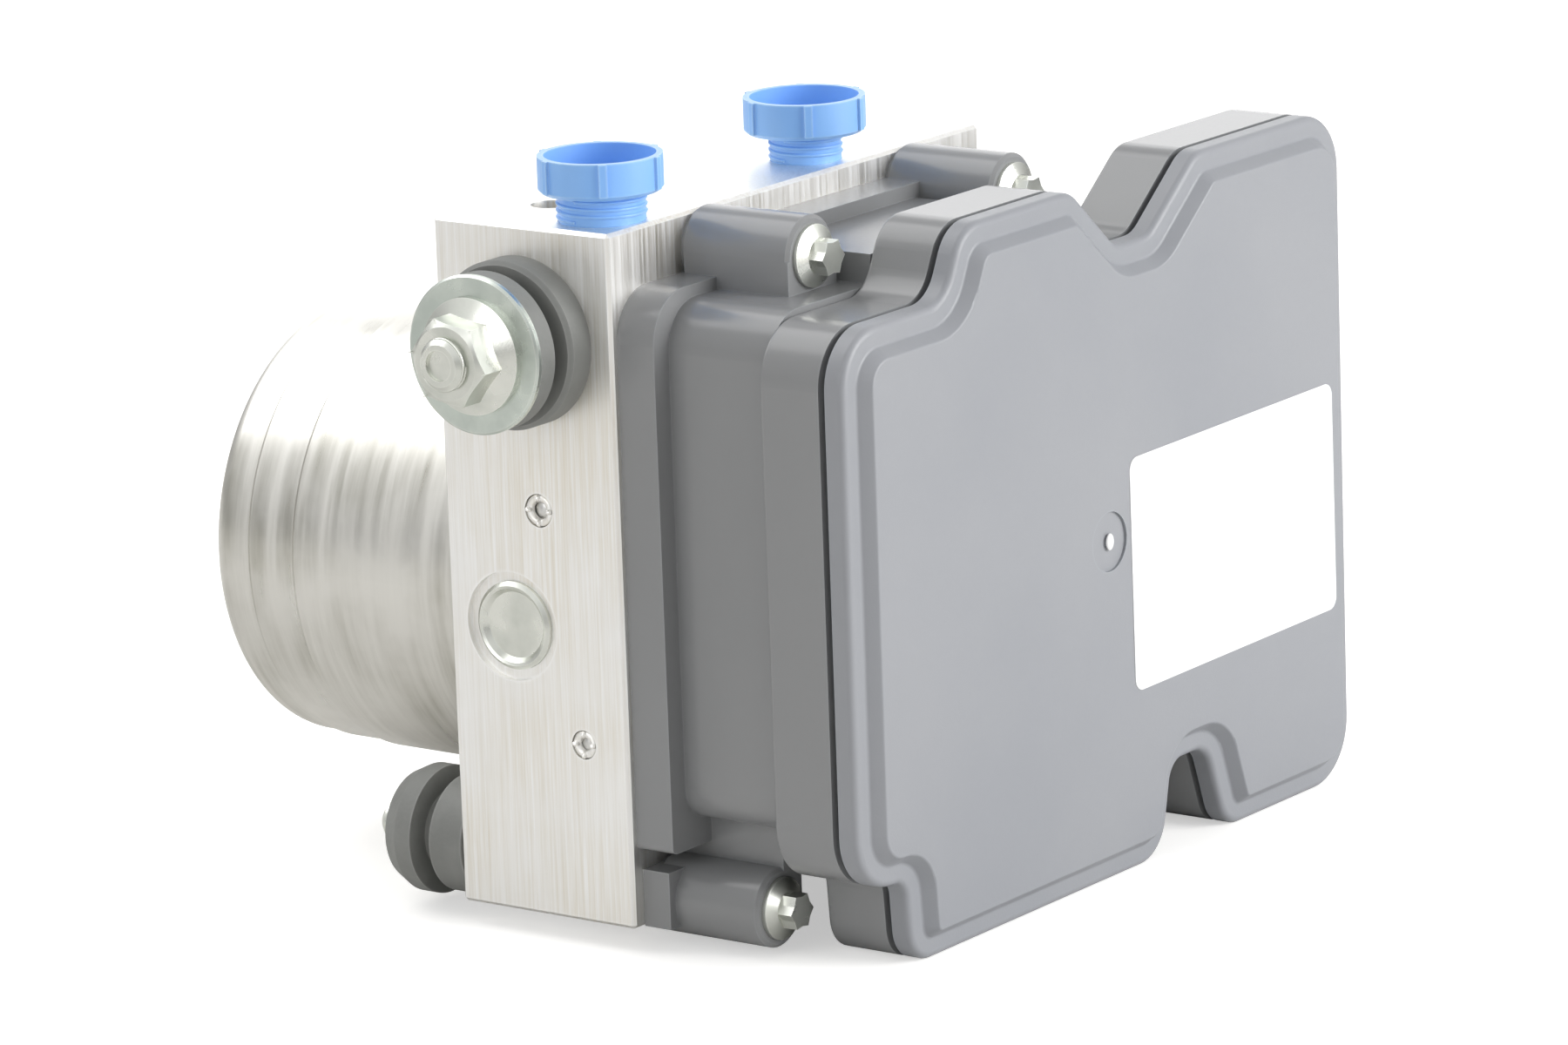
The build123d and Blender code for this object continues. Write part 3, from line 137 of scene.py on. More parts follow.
paper = bpy.data.materials.new("white paper")
paper.use_nodes = True
paper_tree = paper.node_tree
paper_shader = paper_tree.nodes["Principled BSDF"]
paper_shader.inputs["Base Color"].default_value = (0.86, 0.85, 0.83, 1)
paper_shader.inputs["Roughness"].default_value = 0.9
paper_shader.inputs["Specular IOR Level"].default_value = 0.1
paper_shader.inputs["Emission Color"].default_value = (1, 1, 1, 1)
ray = paper_tree.nodes.new("ShaderNodeLightPath")
glow = paper_tree.nodes.new("ShaderNodeMath")
glow.operation = "MULTIPLY"
glow.inputs[1].default_value = floor_glow
paper_tree.links.new(ray.outputs["Is Camera Ray"], glow.inputs[0])
paper_tree.links.new(glow.outputs[0], paper_shader.inputs["Emission Strength"])
floor_mesh.materials.append(paper)
print("paper floor:", 2 * floor_half, "m across")

# %% The world that each kind of ray sees
plastic_sees = 0.37
metal_sees_at_horizon = 0.40
metal_sees_overhead = 0.9
overhead_starts_at = 0.55

world = bpy.data.worlds.new("studio")
bpy.context.scene.world = world
world.use_nodes = True
sky_tree = world.node_tree
sky = sky_tree.nodes["Background"]
sky.inputs["Color"].default_value = (1, 1, 1, 1)
sky_ray = sky_tree.nodes.new("ShaderNodeLightPath")
direction = sky_tree.nodes.new("ShaderNodeTexCoord")
direction_parts = sky_tree.nodes.new("ShaderNodeSeparateXYZ")
for_metal = sky_tree.nodes.new("ShaderNodeMapRange")
for_metal.inputs["From Min"].default_value = 0.0
for_metal.inputs["From Max"].default_value = overhead_starts_at
for_metal.inputs["To Min"].default_value = metal_sees_at_horizon
for_metal.inputs["To Max"].default_value = metal_sees_overhead
for_others = sky_tree.nodes.new("ShaderNodeMix")
for_others.inputs["A"].default_value = plastic_sees
for_camera = sky_tree.nodes.new("ShaderNodeMix")
for_camera.inputs["B"].default_value = 1.0
sky_tree.links.new(direction.outputs["Generated"], direction_parts.inputs["Vector"])
sky_tree.links.new(direction_parts.outputs["Z"], for_metal.inputs["Value"])
sky_tree.links.new(sky_ray.outputs["Is Glossy Ray"], for_others.inputs["Factor"])
sky_tree.links.new(for_metal.outputs["Result"], for_others.inputs["B"])
sky_tree.links.new(sky_ray.outputs["Is Camera Ray"], for_camera.inputs["Factor"])
sky_tree.links.new(for_others.outputs["Result"], for_camera.inputs["A"])
sky_tree.links.new(for_camera.outputs["Result"], sky.inputs["Strength"])
bpy.context.scene.view_settings.view_transform = "Standard"
print("plastic sees", plastic_sees, "and metal", metal_sees_at_horizon, "to", metal_sees_overhead)

# %% Lamps
middle = (cad_low + cad_high) / 2


def softbox(name, place, size, watts):
    """A square lamp at a place in metres from the object's middle, turned to face it."""
    light = bpy.data.lights.new(name, "AREA")
    light.shape = "SQUARE"
    light.size = size
    light.energy = watts
    lamp = bpy.data.objects.new(name, light)
    bpy.context.scene.collection.objects.link(lamp)
    lamp.location = middle + Vector(place)
    lamp.rotation_euler = (middle - lamp.location).to_track_quat("-Z", "Y").to_euler()
    print(name, "gives", watts, "W")


softbox("top_box", place=(-0.1, 0.6, 0.8), size=0.8, watts=5)
softbox("front_box", place=(0.35, -1.0, 0.35), size=0.7, watts=11)
softbox("left_box", place=(-1.0, 0.1, 0.35), size=0.6, watts=1.7)
softbox("back_box", place=(0.9, 0.7, 0.32), size=0.8, watts=2.4)

# %% [markdown]
# ## Small effects that several finishes share
# Machined metal, drawn steel and moulded plastic differ in scale more than in kind: each is one
# colour broken up by grain, soft stains or streaks. Each effect is built once as a node group and
# placed in every material with its own values, which is easier to keep even than copied nodes.
# The first three read the part's own coordinates in metres, so a pattern has its real size on
# every part. The last one compares two normals, and so finds edges without being told where they
# are; the finishes use it to paint a highlight along the edges.

# %% An empty node group
def new_group(name, inputs, outputs):
    """An empty shader group. An input is (name, socket type, value), an output (name, type)."""
    group = bpy.data.node_groups.new(name, "ShaderNodeTree")
    for label, kind, value in inputs:
        socket = group.interface.new_socket(label, in_out="INPUT", socket_type=kind)
        socket.default_value = value
    for label, kind in outputs:
        group.interface.new_socket(label, in_out="OUTPUT", socket_type=kind)
    return group, group.nodes.new("NodeGroupInput"), group.nodes.new("NodeGroupOutput")


# %% Soft stains
def stains_group():
    """Soft stains: 0 to 1 in large patches."""
    group, given, result = new_group(
        "soft stains",
        [
            ("Scale", "NodeSocketFloat", 40.0),
            ("Low", "NodeSocketFloat", 0.4),
            ("High", "NodeSocketFloat", 0.6),
        ],
        [("Mask", "NodeSocketFloat")],
    )
    place = group.nodes.new("ShaderNodeTexCoord")
    noise = group.nodes.new("ShaderNodeTexNoise")
    noise.inputs["Detail"].default_value = 4.0
    limits = group.nodes.new("ShaderNodeMapRange")
    group.links.new(place.outputs["Object"], noise.inputs["Vector"])
    group.links.new(given.outputs["Scale"], noise.inputs["Scale"])
    group.links.new(noise.outputs["Fac"], limits.inputs["Value"])
    group.links.new(given.outputs["Low"], limits.inputs["From Min"])
    group.links.new(given.outputs["High"], limits.inputs["From Max"])
    group.links.new(limits.outputs["Result"], result.inputs["Mask"])
    return group


stains = stains_group()
print("effect:", stains.name)


# %% Fine streaks
def streaks_group():
    """Fine lines: noise that is stretched by its own scale along each axis."""
    group, given, result = new_group(
        "fine streaks",
        [("Stretch", "NodeSocketVector", (1.0, 1.0, 1.0))],
        [("Mask", "NodeSocketFloat"), ("Height", "NodeSocketFloat")],
    )
    place = group.nodes.new("ShaderNodeTexCoord")
    stretched = group.nodes.new("ShaderNodeVectorMath")
    stretched.operation = "MULTIPLY"
    noise = group.nodes.new("ShaderNodeTexNoise")
    noise.inputs["Scale"].default_value = 1.0
    noise.inputs["Detail"].default_value = 5.0
    noise.inputs["Roughness"].default_value = 0.6
    limits = group.nodes.new("ShaderNodeMapRange")
    limits.inputs["From Min"].default_value = 0.3
    limits.inputs["From Max"].default_value = 0.7
    group.links.new(place.outputs["Object"], stretched.inputs[0])
    group.links.new(given.outputs["Stretch"], stretched.inputs[1])
    group.links.new(stretched.outputs["Vector"], noise.inputs["Vector"])
    group.links.new(noise.outputs["Fac"], limits.inputs["Value"])
    group.links.new(limits.outputs["Result"], result.inputs["Mask"])
    group.links.new(noise.outputs["Fac"], result.inputs["Height"])
    return group


streaks = streaks_group()
print("effect:", streaks.name)


# %% Moulded grain
clumps_per_pit = 0.37


def grain_group():
    """The eroded grain of a moulding tool: small rounded pits that gather in wider clumps."""
    group, given, result = new_group(
        "moulded grain",
        [("Scale", "NodeSocketFloat", 2500.0)],
        [("Mask", "NodeSocketFloat"), ("Height", "NodeSocketFloat")],
    )
    place = group.nodes.new("ShaderNodeTexCoord")
    pits = group.nodes.new("ShaderNodeTexVoronoi")
    pits.feature = "SMOOTH_F1"
    noise = group.nodes.new("ShaderNodeTexNoise")
    noise.inputs["Detail"].default_value = 3.0
    coarser = group.nodes.new("ShaderNodeMath")
    coarser.operation = "MULTIPLY"
    coarser.inputs[1].default_value = clumps_per_pit
    total = group.nodes.new("ShaderNodeMath")
    total.operation = "ADD"
    group.links.new(place.outputs["Object"], pits.inputs["Vector"])
    group.links.new(place.outputs["Object"], noise.inputs["Vector"])
    group.links.new(given.outputs["Scale"], pits.inputs["Scale"])
    group.links.new(given.outputs["Scale"], coarser.inputs[0])
    group.links.new(coarser.outputs[0], noise.inputs["Scale"])
    group.links.new(pits.outputs["Distance"], total.inputs[0])
    group.links.new(noise.outputs["Fac"], total.inputs[1])
    group.links.new(total.outputs[0], result.inputs["Height"])
    group.links.new(noise.outputs["Fac"], result.inputs["Mask"])
    return group


grain = grain_group()
print("effect:", grain.name)


# %% Painted edge highlight
def edge_highlight_group():
    """Edges for a painted highlight: 1 where a softened normal differs from the real one, 0 on
    flats.
    """
    group, given, result = new_group(
        "painted edge highlight",
        [("Radius", "NodeSocketFloat", 0.0006), ("Gain", "NodeSocketFloat", 6.0)],
        [("Mask", "NodeSocketFloat")],
    )
    softened = group.nodes.new("ShaderNodeBevel")
    softened.samples = 4
    surface = group.nodes.new("ShaderNodeNewGeometry")
    along = group.nodes.new("ShaderNodeVectorMath")
    along.operation = "DOT_PRODUCT"
    turned_away = group.nodes.new("ShaderNodeMath")
    turned_away.operation = "SUBTRACT"
    turned_away.inputs[0].default_value = 1.0
    gain = group.nodes.new("ShaderNodeMath")
    gain.operation = "MULTIPLY"
    gain.use_clamp = True
    group.links.new(given.outputs["Radius"], softened.inputs["Radius"])
    group.links.new(softened.outputs["Normal"], along.inputs[0])
    group.links.new(surface.outputs["Normal"], along.inputs[1])
    group.links.new(along.outputs["Value"], turned_away.inputs[1])
    group.links.new(turned_away.outputs[0], gain.inputs[0])
    group.links.new(given.outputs["Gain"], gain.inputs[1])
    group.links.new(gain.outputs[0], result.inputs["Mask"])
    return group


edge_highlight = edge_highlight_group()
print("effect:", edge_highlight.name)

# %% [markdown]
# ## The steps that every finish repeats
# A finish is a shader, one or two effects, colours that they mix, and often a roughness and a
# bump from the same masks. Written out in nodes, each of those takes several lines. Small helpers
# named after what they do keep a finish short enough to read as a recipe.


# %% Helpers that every finish uses
def new_finish(name, roughness, metallic=0.0):
    """A material with one Principled shader, and its tree."""
    material = bpy.data.materials.new(name)
    material.use_nodes = True
    shader = material.node_tree.nodes["Principled BSDF"]
    shader.inputs["Roughness"].default_value = roughness
    shader.inputs["Metallic"].default_value = metallic
    return material, material.node_tree, shader


def effect(tree, group, **values):
    """Places a shared effect with its own values."""
    node = tree.nodes.new("ShaderNodeGroup")
    node.node_tree = group
    for label, value in values.items():
        node.inputs[label].default_value = value
    return node


def two_colours(tree, mask, first, second):
    """The first colour where the mask is 0, the second where it is 1. Either may be a socket."""
    mix = tree.nodes.new("ShaderNodeMix")
    mix.data_type = "RGBA"
    tree.links.new(mask, mix.inputs["Factor"])
    for value, socket in ((first, mix.inputs[6]), (second, mix.inputs[7])):
        if isinstance(value, tuple):
            socket.default_value = (*value, 1)
        else:
            tree.links.new(value, socket)
    return mix.outputs[2]


def between(tree, mask, low, high):
    """A number that goes from low to high with the mask."""
    limits = tree.nodes.new("ShaderNodeMapRange")
    limits.inputs["To Min"].default_value = low
    limits.inputs["To Max"].default_value = high
    tree.links.new(mask, limits.inputs["Value"])
    return limits.outputs["Result"]


def raised(tree, shader, height, depth_mm, strength=1.0):
    """Bumps the surface by a height, over a depth in millimetres."""
    bump = tree.nodes.new("ShaderNodeBump")
    bump.inputs["Distance"].default_value = depth_mm * MM
    bump.inputs["Strength"].default_value = strength
    tree.links.new(height, bump.inputs["Height"])
    tree.links.new(bump.outputs["Normal"], shader.inputs["Normal"])


# %% [markdown]
# ## Machined aluminium
# The block is sawn from an extruded bar and milled on every face. Up close that gives fine
# vertical lines with slightly warm and cool patches between them. Its edges are painted a little
# brighter, a painted highlight along each edge. A mirror-smooth metal would look like chrome, so
# the roughness stays high.

# %% Block finish
def machined_aluminium():
    material, tree, shader = new_finish("machined aluminium", roughness=0.42, metallic=1.0)
    lines = effect(tree, streaks, Stretch=(2600.0, 2600.0, 50.0))
    patches = effect(tree, stains, Scale=38.0, Low=0.34, High=0.66)
    # edges painted lighter: a painted highlight along each edge
    edges = effect(tree, edge_highlight, Radius=0.0007, Gain=5.0)
    tint = two_colours(tree, patches.outputs["Mask"], (0.87, 0.87, 0.86), (0.77, 0.73, 0.64))
    lined = two_colours(tree, lines.outputs["Mask"], tint, (0.93, 0.93, 0.92))
    colour = two_colours(tree, edges.outputs["Mask"], lined, (0.96, 0.96, 0.95))
    tree.links.new(colour, shader.inputs["Base Color"])
    tree.links.new(between(tree, lines.outputs["Mask"], 0.36, 0.52), shader.inputs["Roughness"])
    raised(tree, shader, lines.outputs["Height"], depth_mm=0.012, strength=0.6)
    return material


block_finish = machined_aluminium()
print("finish:", block_finish.name)

# %% [markdown]
# ## Drawn and plated steel
# The motor can is deep drawn from plated sheet. It turns in its fixture while it is cleaned,
# which leaves soft scuffs round it, and the sheet has uneven grey clouds. The nut, washer and
# screws have a zinc coat with the faint green of its passivation.

# %% Steel finishes
def drawn_steel():
    material, tree, shader = new_finish("drawn can steel", roughness=0.34, metallic=1.0)
    scuffs = effect(tree, streaks, Stretch=(22.0, 330.0, 22.0))
    cloudy = effect(tree, stains, Scale=46.0, Low=0.40, High=0.60)
    tint = two_colours(tree, cloudy.outputs["Mask"], (0.70, 0.69, 0.65), (0.46, 0.45, 0.40))
    colour = two_colours(tree, scuffs.outputs["Mask"], tint, (0.76, 0.75, 0.71))
    tree.links.new(colour, shader.inputs["Base Color"])
    tree.links.new(between(tree, scuffs.outputs["Mask"], 0.26, 0.44), shader.inputs["Roughness"])
    raised(tree, shader, scuffs.outputs["Height"], depth_mm=0.05, strength=0.5)
    return material


def zinc_plate(name, colour, cloud_colour):
    material, tree, shader = new_finish(name, roughness=0.32, metallic=1.0)
    cloudy = effect(tree, stains, Scale=180.0, Low=0.35, High=0.65)
    speckle = effect(tree, grain, Scale=3000.0)
    # edges painted lighter: a painted highlight along each edge
    edges = effect(tree, edge_highlight, Radius=0.0003, Gain=4.0)
    tint = two_colours(tree, cloudy.outputs["Mask"], colour, cloud_colour)
    with_edge_highlight = two_colours(tree, edges.outputs["Mask"], tint, (0.86, 0.87, 0.82))
    tree.links.new(with_edge_highlight, shader.inputs["Base Color"])
    tree.links.new(between(tree, cloudy.outputs["Mask"], 0.24, 0.40), shader.inputs["Roughness"])
    raised(tree, shader, speckle.outputs["Height"], depth_mm=0.01, strength=0.5)
    return material


def ground_steel():
    material, tree, shader = new_finish("ground steel", roughness=0.30, metallic=1.0)
    lines = effect(tree, streaks, Stretch=(1200.0, 1200.0, 1200.0))
    colour = two_colours(tree, lines.outputs["Mask"], (0.58, 0.58, 0.57), (0.70, 0.70, 0.68))
    tree.links.new(colour, shader.inputs["Base Color"])
    tree.links.new(between(tree, lines.outputs["Mask"], 0.26, 0.42), shader.inputs["Roughness"])
    return material


can_finish = drawn_steel()
zinc_finish = zinc_plate("zinc plate", (0.74, 0.75, 0.70), (0.62, 0.64, 0.59))
washer_finish = zinc_plate("greenish zinc plate", (0.62, 0.67, 0.62), (0.51, 0.56, 0.52))
steel_finish = ground_steel()
steels = (can_finish, zinc_finish, washer_finish, steel_finish)
print("finishes:", [each.name for each in steels])

# %% [markdown]
# ## Moulded plastics
# The housing is glass-filled nylon: it comes out of a polished tool, so its grain is very fine
# and its corners catch a soft highlight. The cover's grain is coarser and deeper, and so it looks
# drier. Neither is one flat colour, because the flow of the melt leaves faint clouds. Their edges
# are painted lighter, a painted highlight along each edge. The port plugs and the motor's brush
# holder are moulded too, so the same recipe makes all four.

# %% Plastic finishes
def moulded(
    name, colour, cloud_colour, edge_highlight_colour, roughness, grain_scale, depth_mm, cloud_scale=28.0
):
    """A moulded plastic: faint clouds in its colour, a fine grain, and painted highlights on
    edges.
    """
    material, tree, shader = new_finish(name, roughness)
    cloudy = effect(tree, stains, Scale=cloud_scale, Low=0.35, High=0.65)
    pits = effect(tree, grain, Scale=grain_scale)
    # edges painted lighter: a painted highlight along each edge
    edges = effect(tree, edge_highlight, Radius=0.0005, Gain=3.0)
    body = two_colours(tree, cloudy.outputs["Mask"], colour, cloud_colour)
    with_edge_highlight = two_colours(tree, edges.outputs["Mask"], body, edge_highlight_colour)
    tree.links.new(with_edge_highlight, shader.inputs["Base Color"])
    uneven = between(tree, pits.outputs["Mask"], roughness - 0.06, roughness + 0.08)
    tree.links.new(uneven, shader.inputs["Roughness"])
    raised(tree, shader, pits.outputs["Height"], depth_mm, strength=0.5)
    return material


housing_finish = moulded(
    "housing nylon",
    colour=(0.262, 0.267, 0.272), cloud_colour=(0.274, 0.278, 0.283),
    edge_highlight_colour=(0.32, 0.33, 0.34),
    roughness=0.22, grain_scale=5200.0, depth_mm=0.001,
)
cover_finish = moulded(
    "cover nylon",
    colour=(0.296, 0.307, 0.332), cloud_colour=(0.316, 0.325, 0.347),
    edge_highlight_colour=(0.36, 0.38, 0.41),
    roughness=0.40, grain_scale=3400.0, depth_mm=0.015,
)
plug_finish = moulded(
    "blue plug plastic",
    colour=(0.250, 0.510, 0.970), cloud_colour=(0.280, 0.540, 0.980),
    edge_highlight_colour=(0.46, 0.70, 0.99),
    roughness=0.34, grain_scale=1500.0, depth_mm=0.015, cloud_scale=90.0,
)
holder_finish = moulded(
    "holder plastic",
    colour=(0.03, 0.03, 0.032), cloud_colour=(0.04, 0.04, 0.042),
    edge_highlight_colour=(0.07, 0.07, 0.07),
    roughness=0.5, grain_scale=2600.0, depth_mm=0.02,
)
plastics = (housing_finish, cover_finish, plug_finish, holder_finish)
print("finishes:", [each.name for each in plastics])

# %% [markdown]
# ## Rubber of the mounts
# The bushes are black rubber that has greyed: a thin waxy bloom comes to the surface in patches.
# The bloom is duller as well as paler, so one mask drives both the colour and the roughness.


# %% Rubber finish
def rubber():
    material, tree, shader = new_finish("bush rubber", roughness=0.62)
    bloom = effect(tree, stains, Scale=130.0, Low=0.40, High=0.68)
    pits = effect(tree, grain, Scale=1800.0)
    # edges painted lighter: a painted highlight along each edge
    edges = effect(tree, edge_highlight, Radius=0.0006, Gain=3.0)
    body = two_colours(tree, bloom.outputs["Mask"], (0.205, 0.210, 0.200), (0.260, 0.265, 0.253))
    with_edge_highlight = two_colours(tree, edges.outputs["Mask"], body, (0.33, 0.33, 0.32))
    tree.links.new(with_edge_highlight, shader.inputs["Base Color"])
    tree.links.new(between(tree, bloom.outputs["Mask"], 0.52, 0.74), shader.inputs["Roughness"])
    raised(tree, shader, pits.outputs["Height"], depth_mm=0.04, strength=0.6)
    return material


rubber_finish = rubber()
print("finish:", rubber_finish.name)

# %% [markdown]
# ## Label
# The label is printed film with a satin coat. It stays blank here, so all it needs is the very
# faint unevenness of film over a grained panel.

# %% Label finish
def label_film():
    material, tree, shader = new_finish("label film", roughness=0.35)
    uneven = effect(tree, stains, Scale=60.0, Low=0.3, High=0.7)
    panel = effect(tree, grain, Scale=1500.0)
    colour = two_colours(tree, uneven.outputs["Mask"], (0.93, 0.935, 0.94), (0.90, 0.905, 0.91))
    tree.links.new(colour, shader.inputs["Base Color"])
    raised(tree, shader, panel.outputs["Height"], depth_mm=0.008, strength=0.4)
    shader.inputs["Coat Weight"].default_value = 0.3
    return material


film_finish = label_film()
print("finish:", film_finish.name)

# %% [markdown]
# ## Inner parts
# Nothing inside shows while the unit is closed, but each part still gets its own finish, so that
# the model can be opened, cut or taken apart later.

# %% Inner finishes
def two_tone(name, colour, second, roughness, metallic, scale):
    """A plain finish for inner parts: two shades in fine patches."""
    material, tree, shader = new_finish(name, roughness, metallic)
    patches = effect(tree, stains, Scale=scale, Low=0.4, High=0.6)
    mixed = two_colours(tree, patches.outputs["Mask"], colour, second)
    tree.links.new(mixed, shader.inputs["Base Color"])
    return material


copper_finish = two_tone(
    "enamelled copper", (0.62, 0.27, 0.11), (0.70, 0.33, 0.15),
    roughness=0.35, metallic=1.0, scale=400.0,
)
magnet_finish = two_tone(
    "ferrite", (0.045, 0.045, 0.05), (0.065, 0.065, 0.07),
    roughness=0.7, metallic=0.0, scale=300.0,
)
core_finish = two_tone(
    "core plates", (0.24, 0.24, 0.25), (0.32, 0.32, 0.33),
    roughness=0.5, metallic=1.0, scale=500.0,
)
carbon_finish = two_tone(
    "brush carbon", (0.03, 0.03, 0.03), (0.05, 0.05, 0.05),
    roughness=0.75, metallic=0.0, scale=600.0,
)
seal_finish = two_tone(
    "seal rubber", (0.20, 0.05, 0.035), (0.24, 0.07, 0.05),
    roughness=0.7, metallic=0.0, scale=300.0,
)
board_finish = two_tone(
    "board laminate", (0.015, 0.10, 0.05), (0.02, 0.13, 0.065),
    roughness=0.35, metallic=0.0, scale=200.0,
)
chip_finish = two_tone(
    "chip plastic", (0.02, 0.02, 0.022), (0.03, 0.03, 0.032),
    roughness=0.6, metallic=0.0, scale=800.0,
)
tin_finish = two_tone(
    "tinned contacts", (0.70, 0.70, 0.69), (0.78, 0.78, 0.76),
    roughness=0.3, metallic=1.0, scale=900.0,
)
inner_finishes = (
    copper_finish, magnet_finish, core_finish, carbon_finish,
    seal_finish, board_finish, chip_finish, tin_finish,
)
print("finishes:", [each.name for each in inner_finishes])

# %% [markdown]
# ## Give every part its finish
# The parts keep their shapes. Only the material in each one's slot changes. A part that the table
# leaves out, such as a ball, a bearing or a piston, is ground steel.

# %% Assign the finishes
finish_of = {
    "valve_block": block_finish,
    "pump_plug_left": zinc_finish,
    "pump_plug_right": zinc_finish,
    "port_plug_inlet": plug_finish,
    "port_plug_wheel": plug_finish,
    "side_port_plugs": plug_finish,
    "side_stud": zinc_finish,
    "side_bush": rubber_finish,
    "side_washer": washer_finish,
    "side_nut": zinc_finish,
    "lower_pin_left": zinc_finish,
    "lower_pin_right": zinc_finish,
    "lower_bush_left": rubber_finish,
    "lower_bush_right": rubber_finish,
    "motor_can": can_finish,
    "motor_end_plate": can_finish,
    "motor_magnets": magnet_finish,
    "motor_screws": zinc_finish,
    "motor_terminals": tin_finish,
    "rotor_core": core_finish,
    "rotor_windings": copper_finish,
    "commutator": copper_finish,
    "brush_holder": holder_finish,
    "carbon_brushes": carbon_finish,
    "ecu_housing": housing_finish,
    "ecu_cover": cover_finish,
    "ecu_screws": zinc_finish,
    "housing_seal": seal_finish,
    "circuit_board": board_finish,
    "board_components": chip_finish,
    "connector_contacts": tin_finish,
    "label": film_finish,
}
for name, part in parts.items():
    finish = finish_of.get(name, steel_finish)
    part.data.materials.clear()
    part.data.materials.append(finish)
print(len(parts), "parts finished,", len(parts) - len(finish_of), "of them in ground steel")

# %% [markdown]
# ## Threads
# The port plugs are screwed in, and their necks show the last turns of a moulded thread between
# the cap and the block. The side mount's stud shows its thread past the nut. A thread is a ridge
# that follows a spiral, so it could be cut with a screw modifier or modelled turn by turn. Here
# Geometry Nodes sweep a small profile along a spiral: one tree makes every thread, from a radius,
# a pitch and a number of turns, and each result is set in its place as a plain mesh.


# %% Helpers for trees that make shapes
def new_shape_tree(name, inputs):
    """An empty tree with inputs given as (name, socket type, value), and one for the finish."""
    tree = bpy.data.node_groups.new(name, "GeometryNodeTree")
    for label, kind, value in inputs:
        socket = tree.interface.new_socket(label, in_out="INPUT", socket_type=kind)
        socket.default_value = value
    tree.interface.new_socket("Finish", in_out="INPUT", socket_type="NodeSocketMaterial")
    tree.interface.new_socket("Geometry", in_out="OUTPUT", socket_type="NodeSocketGeometry")
    return tree, tree.nodes.new("NodeGroupInput")


def end_shape_tree(tree, given, geometry):
    """Ends a tree: what was placed is made real and gets the finish."""
    result = tree.nodes.new("NodeGroupOutput")
    whole = tree.nodes.new("GeometryNodeRealizeInstances")
    finish = tree.nodes.new("GeometryNodeSetMaterial")
    tree.links.new(geometry, whole.inputs["Geometry"])
    tree.links.new(whole.outputs["Geometry"], finish.inputs["Geometry"])
    tree.links.new(given.outputs["Finish"], finish.inputs["Material"])
    tree.links.new(finish.outputs["Geometry"], result.inputs["Geometry"])


# %% A Geometry Nodes tree for threads
steps_per_turn = 48
ridge_sides = 6


def thread_tree():
    tree, given = new_shape_tree("thread ridge", [
        ("Radius", "NodeSocketFloat", 5.0 * MM),
        ("Pitch", "NodeSocketFloat", 1.0 * MM),
        ("Turns", "NodeSocketFloat", 3.0),
        ("Ridge", "NodeSocketFloat", 0.3 * MM),
    ])
    spiral = tree.nodes.new("GeometryNodeCurveSpiral")
    spiral.inputs["Resolution"].default_value = steps_per_turn
    height = tree.nodes.new("ShaderNodeMath")
    height.operation = "MULTIPLY"
    profile = tree.nodes.new("GeometryNodeCurvePrimitiveCircle")
    profile.inputs["Resolution"].default_value = ridge_sides
    sweep = tree.nodes.new("GeometryNodeCurveToMesh")
    sweep.inputs["Fill Caps"].default_value = True
    link = tree.links.new
    link(given.outputs["Radius"], spiral.inputs["Start Radius"])
    link(given.outputs["Radius"], spiral.inputs["End Radius"])
    link(given.outputs["Turns"], spiral.inputs["Rotations"])
    link(given.outputs["Turns"], height.inputs[0])
    link(given.outputs["Pitch"], height.inputs[1])
    link(height.outputs[0], spiral.inputs["Height"])
    link(given.outputs["Ridge"], profile.inputs["Radius"])
    link(spiral.outputs["Curve"], sweep.inputs["Curve"])
    link(profile.outputs["Curve"], sweep.inputs["Profile Curve"])
    end_shape_tree(tree, given, sweep.outputs["Mesh"])
    return tree


thread = thread_tree()
print("tree:", thread.name)


# %% From a tree to a finished piece
def mesh_from_tree(tree, **values):
    """The plain mesh that a tree makes. An input "Ring Radius" is given as Ring_Radius."""
    maker = bpy.data.objects.new("maker", bpy.data.meshes.new("maker"))
    bpy.context.scene.collection.objects.link(maker)
    modifier = maker.modifiers.new("tree", "NODES")
    modifier.node_group = tree
    for socket in tree.interface.items_tree:
        label = socket.name.replace(" ", "_")
        if socket.in_out == "INPUT" and label in values:
            modifier[socket.identifier] = values[label]
    made = maker.evaluated_get(bpy.context.evaluated_depsgraph_get())
    mesh = bpy.data.meshes.new_from_object(made)
    bpy.data.objects.remove(maker)
    return mesh


def joined_piece(name, meshes):
    """One object at the origin from several meshes that are already in place."""
    whole = bmesh.new()
    for mesh in meshes:
        whole.from_mesh(mesh)
    bmesh.ops.recalc_face_normals(whole, faces=whole.faces)
    joined = bpy.data.meshes.new(name)
    whole.to_mesh(joined)
    whole.free()
    joined.materials.append(meshes[0].materials[0])
    piece = bpy.data.objects.new(name, joined)
    bpy.context.scene.collection.objects.link(piece)
    return piece


def looking_along(axis, place):
    """The matrix that stands a mesh's Z on an axis, at a place."""
    return Matrix.Translation(place) @ Vector(axis).to_track_quat("Z", "Y").to_matrix().to_4x4()


# %% Threads on the port plugs
neck_start = 0.5 * MM
neck_pitch = 0.95 * MM
neck_turns = 3.0
neck_ridge = 0.26 * MM
inlet_radius = 5.95 * MM
wheel_radius = 4.95 * MM
side_ports_mm = ((8.9, 77.0), (20.6, 63.4), (8.9, 49.8), (14.75, 16.0))


def neck_thread(radius, axis, foot):
    mesh = mesh_from_tree(
        thread, Radius=radius, Pitch=neck_pitch, Turns=neck_turns, Ridge=neck_ridge,
        Finish=plug_finish,
    )
    mesh.transform(looking_along(axis, foot + Vector(axis) * neck_start))
    return mesh


